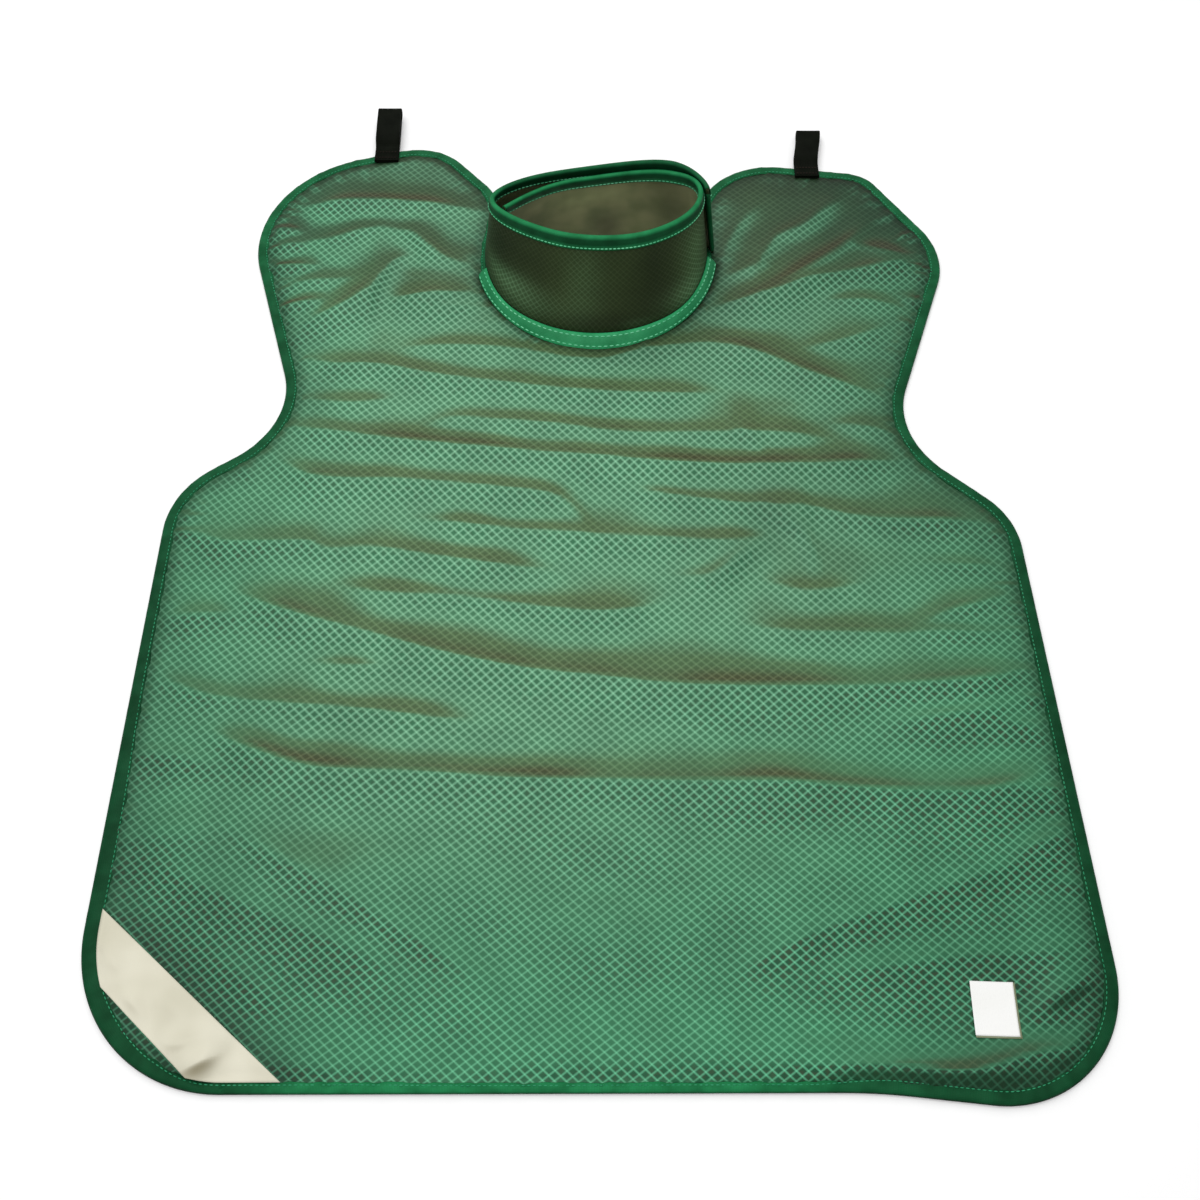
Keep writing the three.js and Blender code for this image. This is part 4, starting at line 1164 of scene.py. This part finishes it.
def make_collar():
    degrees = collar_degrees(*COLLAR_TURN)
    even = np.linspace(0, COLLAR_DROP, COLLAR_ROWS - 1)
    drop, across = (there_and_back(np.append(even, last)) for last in (FOOT_DROP, FOOT_WEAVE))
    out = np.repeat([1, -1], COLLAR_ROWS) * COLLAR_WALL / 2
    verts = collar_point(degrees[:, None], drop[None], out[None])
    rows, columns = verts.shape[:2]
    place = degrees[:, None], across[None]
    # Painted shade and light on the outside and on the lining
    tone = 1 + np.where(out > 0, collar_spots(COLLAR_PAINTED_LIGHT, *place), collar_spots(LINING_PAINTED_LIGHT, *place))
    fields = ring_fields(rows, columns, rim_run(degrees) * COLLAR_WEAVE, across * COLLAR_WEAVE, tone)
    same = {"lean": COLLAR_LEAN, "inset": COLLAR_INSET}
    fields += [(name, np.full(rows * columns, value)) for name, value in same.items()]
    fields.append(("painted_sheen", np.clip(collar_spots(COLLAR_SHEEN, *place), 0, 1).ravel()))
    every = tube_faces(rows, columns)
    lined = np.tile(np.arange(columns) >= COLLAR_ROWS - 1, rows - 1)
    which = [*lined.astype(int), 0, 0]
    made = piece("collar_cloth", verts.reshape(-1, 3), every, [collar_nylon, lining], fields, which)
    return ride(made, "collar_nylon", "collar_band")


def make_rim_binding():
    degrees = collar_degrees(*COLLAR_TURN)
    section = np.array(RIM_SECTION, float)
    drop, out = section.T
    verts = collar_point(degrees[:, None], drop[None], out[None])
    least, crest, foot = RIM_PAINTED_LIGHT["across"]
    across = least + crest * smooth(drop, *RIM_PAINTED_LIGHT["crest"]) + foot * smooth(drop, *RIM_PAINTED_LIGHT["foot"])
    shade = np.outer(1 - RIM_PAINTED_LIGHT["behind"] * smooth(degrees, *RIM_PAINTED_LIGHT["back"]), across)
    runs = rim_run(degrees), run_along(section)
    return tube("collar_binding_tape", verts, *runs, tape, "binding_tape", "collar_binding", shade=shade)


def make_end_binding():
    """The tape folded round the outer layer's free end."""
    drops = np.linspace(*END_DROPS)
    section = np.array(END_SECTION, float)
    degrees = COLLAR_TURN[1] + section[:, 0] / END_DEGREE
    verts = collar_point(degrees[None], drops[:, None], section[None, :, 1])
    return tube("collar_end_tape", verts, drops, run_along(section), tape, "binding_tape")


def make_rim_stitches():
    degrees = collar_degrees(*COLLAR_TURN, STITCH_STEP)
    drop, out, larger = (RIM_STITCH[key] for key in ("drop", "out", "larger"))
    rows = []
    for side in (1, -1):
        points = collar_point(degrees, drop, side * out)
        up = unit(points - collar_point(degrees, drop, side * (out - 1)))
        rows.append(stitch_row(points, STITCH["pitch"], up))
    return make_stitches("collar_binding_stitches", rows, pale_thread, "binding_tape", larger)


def neck_tape_point(degrees, share, lift):
    """A point of the neck tape and its way up; share is 0 at its edge on the panel, 1 on the collar."""
    degrees, share, lift = np.broadcast_arrays(degrees, share, lift)
    wall = COLLAR_WALL / 2 + NECK_TAPE["gap"]
    angle = np.radians(degrees)
    top, bottom = collar_ends(degrees, np.full(degrees.shape, wall))
    height = np.linalg.norm(top - bottom, axis=-1)
    upper = collar_point(degrees, height - NECK_TAPE["rise"], wall)
    reach = np.full(degrees.shape, wall + NECK_TAPE["reach"])
    foot, middle = (oval_point(COLLAR_BASE, angle, off) for off in (reach, 0 * reach))
    lower = np.concatenate([foot, np.full((*degrees.shape, 1), COLLAR_SEWN + NECK_TAPE["lift"])], -1)
    along = lower + (upper - lower) * share[..., None]
    aside, above = NECK_TAPE["lean"]
    up = np.concatenate([unit(foot - middle) * aside, np.full((*degrees.shape, 1), above)], -1)
    crown = NECK_TAPE["crown"] * np.sin(np.pi * share)
    return along + up * (lift + crown)[..., None], up


def make_neck_tape():
    degrees = collar_degrees(NECK_TAPE["from"], NECK_TAPE["to"], NECK_TAPE["step"])
    cells = NECK_TAPE["cells"]
    share = np.linspace(0, 1, cells)
    around = there_and_back(share)
    lift = np.repeat([NECK_TAPE["thick"], 0.0], cells)
    lift[[0, cells - 1]] *= NECK_TAPE["edge"]
    verts, _ = neck_tape_point(degrees[:, None], around[None], lift[None])
    least, more = NECK_TAPE["tone"]
    shade = least + more * smooth(np.abs(around - 0.5), *NECK_TAPE["borders"])
    runs = rim_run(degrees), np.concatenate([share, 2 - share]) * NECK_TAPE["wide"]
    return tube("neck_tape_cloth", verts, *runs, neck_green, "binding_tape", "neck_tape", shade=shade)


def make_neck_stitches():
    larger, ends = NECK_STITCH["larger"], NECK_STITCH["ends"]
    degrees = collar_degrees(NECK_TAPE["from"] - ends, NECK_TAPE["to"] + ends, STITCH_STEP)
    rows = []
    for share in NECK_STITCH["shares"]:
        points, up = neck_tape_point(degrees, share, NECK_TAPE["thick"])
        places, ahead, _ = stitch_row(points, STITCH["pitch"] * larger)
        nearest = np.linspace(0, len(up) - 1, len(places)).astype(int)
        rows.append((places, ahead, unit(up[nearest])))
    return make_stitches("neck_tape_stitches", rows, pale_thread, "binding_tape", larger)


def make_closure():
    degrees = collar_degrees(*CLOSURE["degrees"])
    thick = COLLAR_LAYERS - COLLAR_WALL - CLOSURE["clear"]
    drop = there_and_back(np.linspace(*CLOSURE["drops"], CLOSURE["cells"]))
    out = np.repeat([0.5, -0.5], CLOSURE["cells"]) * thick
    last = CLOSURE["cells"] - 1
    out[[0, last, last + 1, -1]] *= CLOSURE["corners"]
    verts = collar_point(degrees[:, None], drop[None], COLLAR_LAYERS / 2 + out[None])
    runs = rim_run(degrees), drop
    return tube("collar_closure_pile", verts, *runs, pile, "hook_and_loop", "collar_closure")


# Loops
def bezier(points, steps):
    t = np.linspace(0, 1, steps)[:, None]
    p = np.array(points, float)
    return (1 - t) ** 3 * p[0] + 3 * t * (1 - t) ** 2 * p[1] + 3 * t * t * (1 - t) * p[2] + t**3 * p[3]


def shoulder_top(x):
    close = np.abs(edge[:, 0] - x) < EDGE_STEP
    return edge[close, 1].max()


def loop_path(x, length, lift):
    top = shoulder_top(x)
    thick, base, clear, slope = LOOP["thick"], LOOP["base"], LOOP["clear"], LOOP["slope"]
    low_foot = LOOP["foot"] + thick / 2
    high_foot = low_foot + thick + LOOP["gap"]
    low = lift + thick / 2
    bend = (LOOP["slot"] + thick) / 2
    high = low + 2 * bend
    tip = top + length - bend - thick / 2
    past = tip + bend * 4 / 3  # handles that draw a bend close to a half circle

    def ease(d1, z1, d2, z2):
        half = (d1 + d2) / 2
        return bezier([(d1, z1), (half, z1), (half, z2), (d2, z2)], LOOP_STEPS["ease"])[1:]

    parts = [
        np.linspace((top - base, low_foot), (top + clear, low_foot), LOOP_STEPS["foot"]),
        ease(top + clear, low_foot, top + clear + slope, low),
        np.linspace((top + clear + slope, low), (tip, low), LOOP_STEPS["under"])[1:],
        bezier([(tip, low), (past, low), (past, high), (tip, high)], LOOP_STEPS["bend"])[1:],
        np.linspace((tip, high), (top + slope, high), LOOP_STEPS["over"])[1:],
        ease(top + slope, high, top, high_foot),
        np.linspace((top, high_foot), (top - base, high_foot), LOOP_STEPS["foot"])[1:],
    ]
    return np.concatenate(parts), top


def make_loop(side, x, length, lift, lean):
    path, top = loop_path(x, length, lift)
    ahead = unit(np.gradient(path, axis=0))
    normal = right_of(ahead)
    across, off = (np.array(WEB_SECTION) * (LOOP["width"] / 2, LOOP["thick"] / 2)).T
    middle = x + lean * smooth(path[:, 0], top, top + length)
    flat = path[:, None] + normal[:, None] * off[None, :, None]
    verts = np.concatenate([(middle[:, None] + across)[..., None], flat], -1)
    name = f"hanging_loop_{side}"
    made = tube(name + "_webbing", verts, run_along(path), across, webbing, "webbing", name)
    half, z = LOOP_STITCH["half"], LOOP_STITCH["z"]
    rows = []
    for below in LOOP_STITCH["below"]:
        row = np.linspace((x - half, top - below, z), (x + half, top - below, z), LOOP_STITCH["count"])
        rows.append(stitch_row(row, LOOP_STITCH["pitch"]))
    sewn = make_stitches(name + "_stitches", rows, dark_thread, "webbing", LOOP_STITCH["larger"])
    return made, sewn


# Patch and tag
def where_inset(start, end, inset):
    """The first and last points of a line through start and end that are so far inside the edge."""
    share = np.linspace(*LINE_SHARES)
    points = np.array(start) + np.outer(share, np.subtract(end, start))
    inside, _ = edge_field(points[:, 0], points[:, 1])
    ok = np.nonzero(inside >= inset)[0]
    return points[ok[0]], points[ok[-1]]


def edge_between(first, last, inset, count):
    """Points at an inset from the edge, from the one nearest first to the one nearest last."""
    i, j = (((edge - p) ** 2).sum(1).argmin() for p in (first, last))
    step = 1 if (j - i) % len(edge) < len(edge) / 2 else -1
    run = (i + step * np.arange(((j - i) * step) % len(edge) + 1)) % len(edge)
    line = edge[run] - edge_out[run] * inset
    line[0], line[-1] = first, last
    far = run_along(line)
    return at_runs(np.linspace(0, far[-1], count), far, line)


def sheet_shell(name, top, thick, material, slot, nodes, lean):
    """A thin closed sheet under a grid of points."""
    rows, columns = top.shape[:2]
    low = top - np.array([0, 0, thick])
    order = np.concatenate([
        np.arange(columns), np.arange(1, rows) * columns + columns - 1,
        (rows - 1) * columns + np.arange(columns - 2, -1, -1), np.arange(rows - 2, 0, -1) * columns,
    ])
    after = np.roll(order, -1)
    walls = np.stack([order, after, after + rows * columns, order + rows * columns], 1)
    faces = grid_faces(rows, columns)
    every = np.concatenate([faces, faces[:, ::-1] + rows * columns, walls])
    verts = np.concatenate([top.reshape(-1, 3), low.reshape(-1, 3)])
    fields = [("cloth", cloth_field(verts[:, 0], verts[:, 1])), ("lean", np.tile(lean.ravel(), 2))]
    return ride(piece(name, verts, every, [material], fields), slot, *nodes)


def make_patch():
    top_start, foot_start = (where_inset(*line, PATCH_INSET)[0] for line in (PATCH_TOP, PATCH_FOOT))
    top_end, foot_end = (where_inset(*line, PATCH_HEM_INSET)[1] for line in (PATCH_TOP, PATCH_FOOT))
    cells_u, cells_v = PATCH_CELLS
    u, v = np.linspace(0, 1, cells_u)[None, :, None], np.linspace(0, 1, cells_v)[:, None, None]
    left = edge_between(top_start, foot_start, PATCH_INSET, cells_v)[:, None]
    right = edge_between(top_end, foot_end, PATCH_HEM_INSET, cells_v)[:, None]
    upper = top_start + (top_end - top_start) * u
    lower = foot_start + (foot_end - foot_start) * u
    corners = (1 - u) * (1 - v) * top_start + u * (1 - v) * top_end
    corners = corners + (1 - u) * v * foot_start + u * v * foot_end
    flat = (1 - v) * upper + v * lower + (1 - u) * left + u * right - corners
    x, d = flat[..., 0], flat[..., 1]
    z = np.maximum(cloth_top(x, d) + PATCH["lift"] + ridges(PATCH_FOLDS, x, d), PATCH["least"])
    half = PATCH["slope_half"]
    lean = (ridges(PATCH_FOLDS, x, d + half) - ridges(PATCH_FOLDS, x, d - half)) / (2 * half)
    top = np.dstack([x, d, z])
    shell = sheet_shell("corner_patch_satin", top, PATCH["thick"], satin, "satin", ["corner_patch"], lean)
    along, across = np.diff(flat, axis=1)[:-1], np.diff(flat, axis=0)[:, :-1]
    area = np.abs(along[..., 0] * across[..., 1] - along[..., 1] * across[..., 0]).sum()
    return shell, area * MM * MM


def make_tag():
    """The white label, and a larger backing that shows round it, shifted to the lower right as painted
    shadow.
    """
    u, v = np.meshgrid(*(np.linspace(-0.5, 0.5, cells) for cells in TAG["cells"]))
    made = []
    for (name, larger, lift, aside), look, nodes in zip(TAG_LAYERS, (label, sleeve_and_shadow), (["tag"], [])):
        x, d = turned(u * (TAG["width"] + larger), v * (TAG["height"] + larger), TAG["turn"])
        x, d = x + TAG["x"] + aside[0], d + TAG["d"] + aside[1]
        cloth = cloth_top(x, d)
        z = cloth.max() * TAG["stiff"] + cloth * (1 - TAG["stiff"]) + lift + TAG["curl"] * (2 * u) ** 4
        top = np.dstack([x, d, z])
        made.append(sheet_shell(name, top, TAG["thick"], look, "label_paper", nodes, np.zeros_like(x)))
    return made


panel, panel_area = make_panel()
binding = make_binding()
binding_stitches = make_binding_stitches()
collar = make_collar()
rim_binding = make_rim_binding()
end_binding = make_end_binding()
rim_stitches = make_rim_stitches()
make_neck_tape()
make_neck_stitches()
make_closure()
loops = [part for row in LOOPS for part in make_loop(*row)]
patch, patch_area = make_patch()
make_tag()

# Studio
CAMERA_AT = (0.0, -119.5, 742.0)
CAMERA_TILT = math.acos(0.86)
PHOTO_SIDE, PHOTO_FOCUS, PHOTO_MIDDLE = 1200, 1251, 590  # in pixels of the photograph

camera = add_object("camera", bpy.data.cameras.new("camera"))
camera.data.sensor_width = 36
camera.data.lens = PHOTO_FOCUS / PHOTO_SIDE * camera.data.sensor_width
camera.data.shift_x = (PHOTO_SIDE / 2 - PHOTO_MIDDLE) / PHOTO_SIDE
camera.data.clip_start = 0.01
camera.location = in_frame(CAMERA_AT)
camera.rotation_euler = (CAMERA_TILT, 0, 0)
bpy.context.scene.camera = camera

LIGHTS = [
    # name, at in metres, side in metres, watts
    ("overhead", (-0.35, -0.15, 2.0), 2.0, 23),
    ("softbox", (-0.1, 1.0, 1.15), 0.9, 4.5),
]
LIGHT_AIM = (0, 0.05, 0)


def area_light(name, at, side, power):
    lamp = bpy.data.lights.new(name, "AREA")
    lamp.shape = "RECTANGLE"
    lamp.size = lamp.size_y = side
    lamp.energy = power
    made = add_object(name, lamp)
    made.location = at
    toward = np.subtract(LIGHT_AIM, at)
    flat = math.hypot(toward[0], toward[1])
    made.rotation_euler = (math.atan2(flat, -toward[2]), 0, math.atan2(-toward[0], toward[1]))


for row in LIGHTS:
    area_light(*row)

WORLD_STRENGTH = 0.5
world = bpy.data.worlds.new("studio")
world.use_nodes = True
background = world.node_tree.nodes["Background"].inputs
background["Color"].default_value = (1, 1, 1, 1)
background["Strength"].default_value = WORLD_STRENGTH
bpy.context.scene.world = world

FLOOR_HALF, FLOOR_Z = 5.0, -0.0004  # in metres
FLOOR_TONE, FLOOR_GLOW = (0.93, 0.96), 0.1  # it glows a little, to show as white paper
FLOOR_GRAIN = (1.5, 2.0)  # scale, detail
floor_look = Look("floor_paper", Roughness=0.9, Emission_Strength=FLOOR_GLOW)
floor_place = floor_look.node("TexCoord").outputs["Object"]
floor_tone = floor_look.ramp(floor_look.noise(floor_place, *FLOOR_GRAIN), *NOISE_SPAN, *FLOOR_TONE)
floor_mesh = bpy.data.meshes.new("floor")
corners = [(x * FLOOR_HALF, y * FLOOR_HALF, FLOOR_Z) for x, y in ((-1, -1), (1, -1), (1, 1), (-1, 1))]
floor_mesh.from_pydata(corners, [], [(0, 1, 2, 3)])
floor_mesh.materials.append(floor_look.finish(floor_look.grey(floor_tone)))
floor = add_object("floor", floor_mesh)

bpy.context.scene.view_settings.view_transform = "Standard"
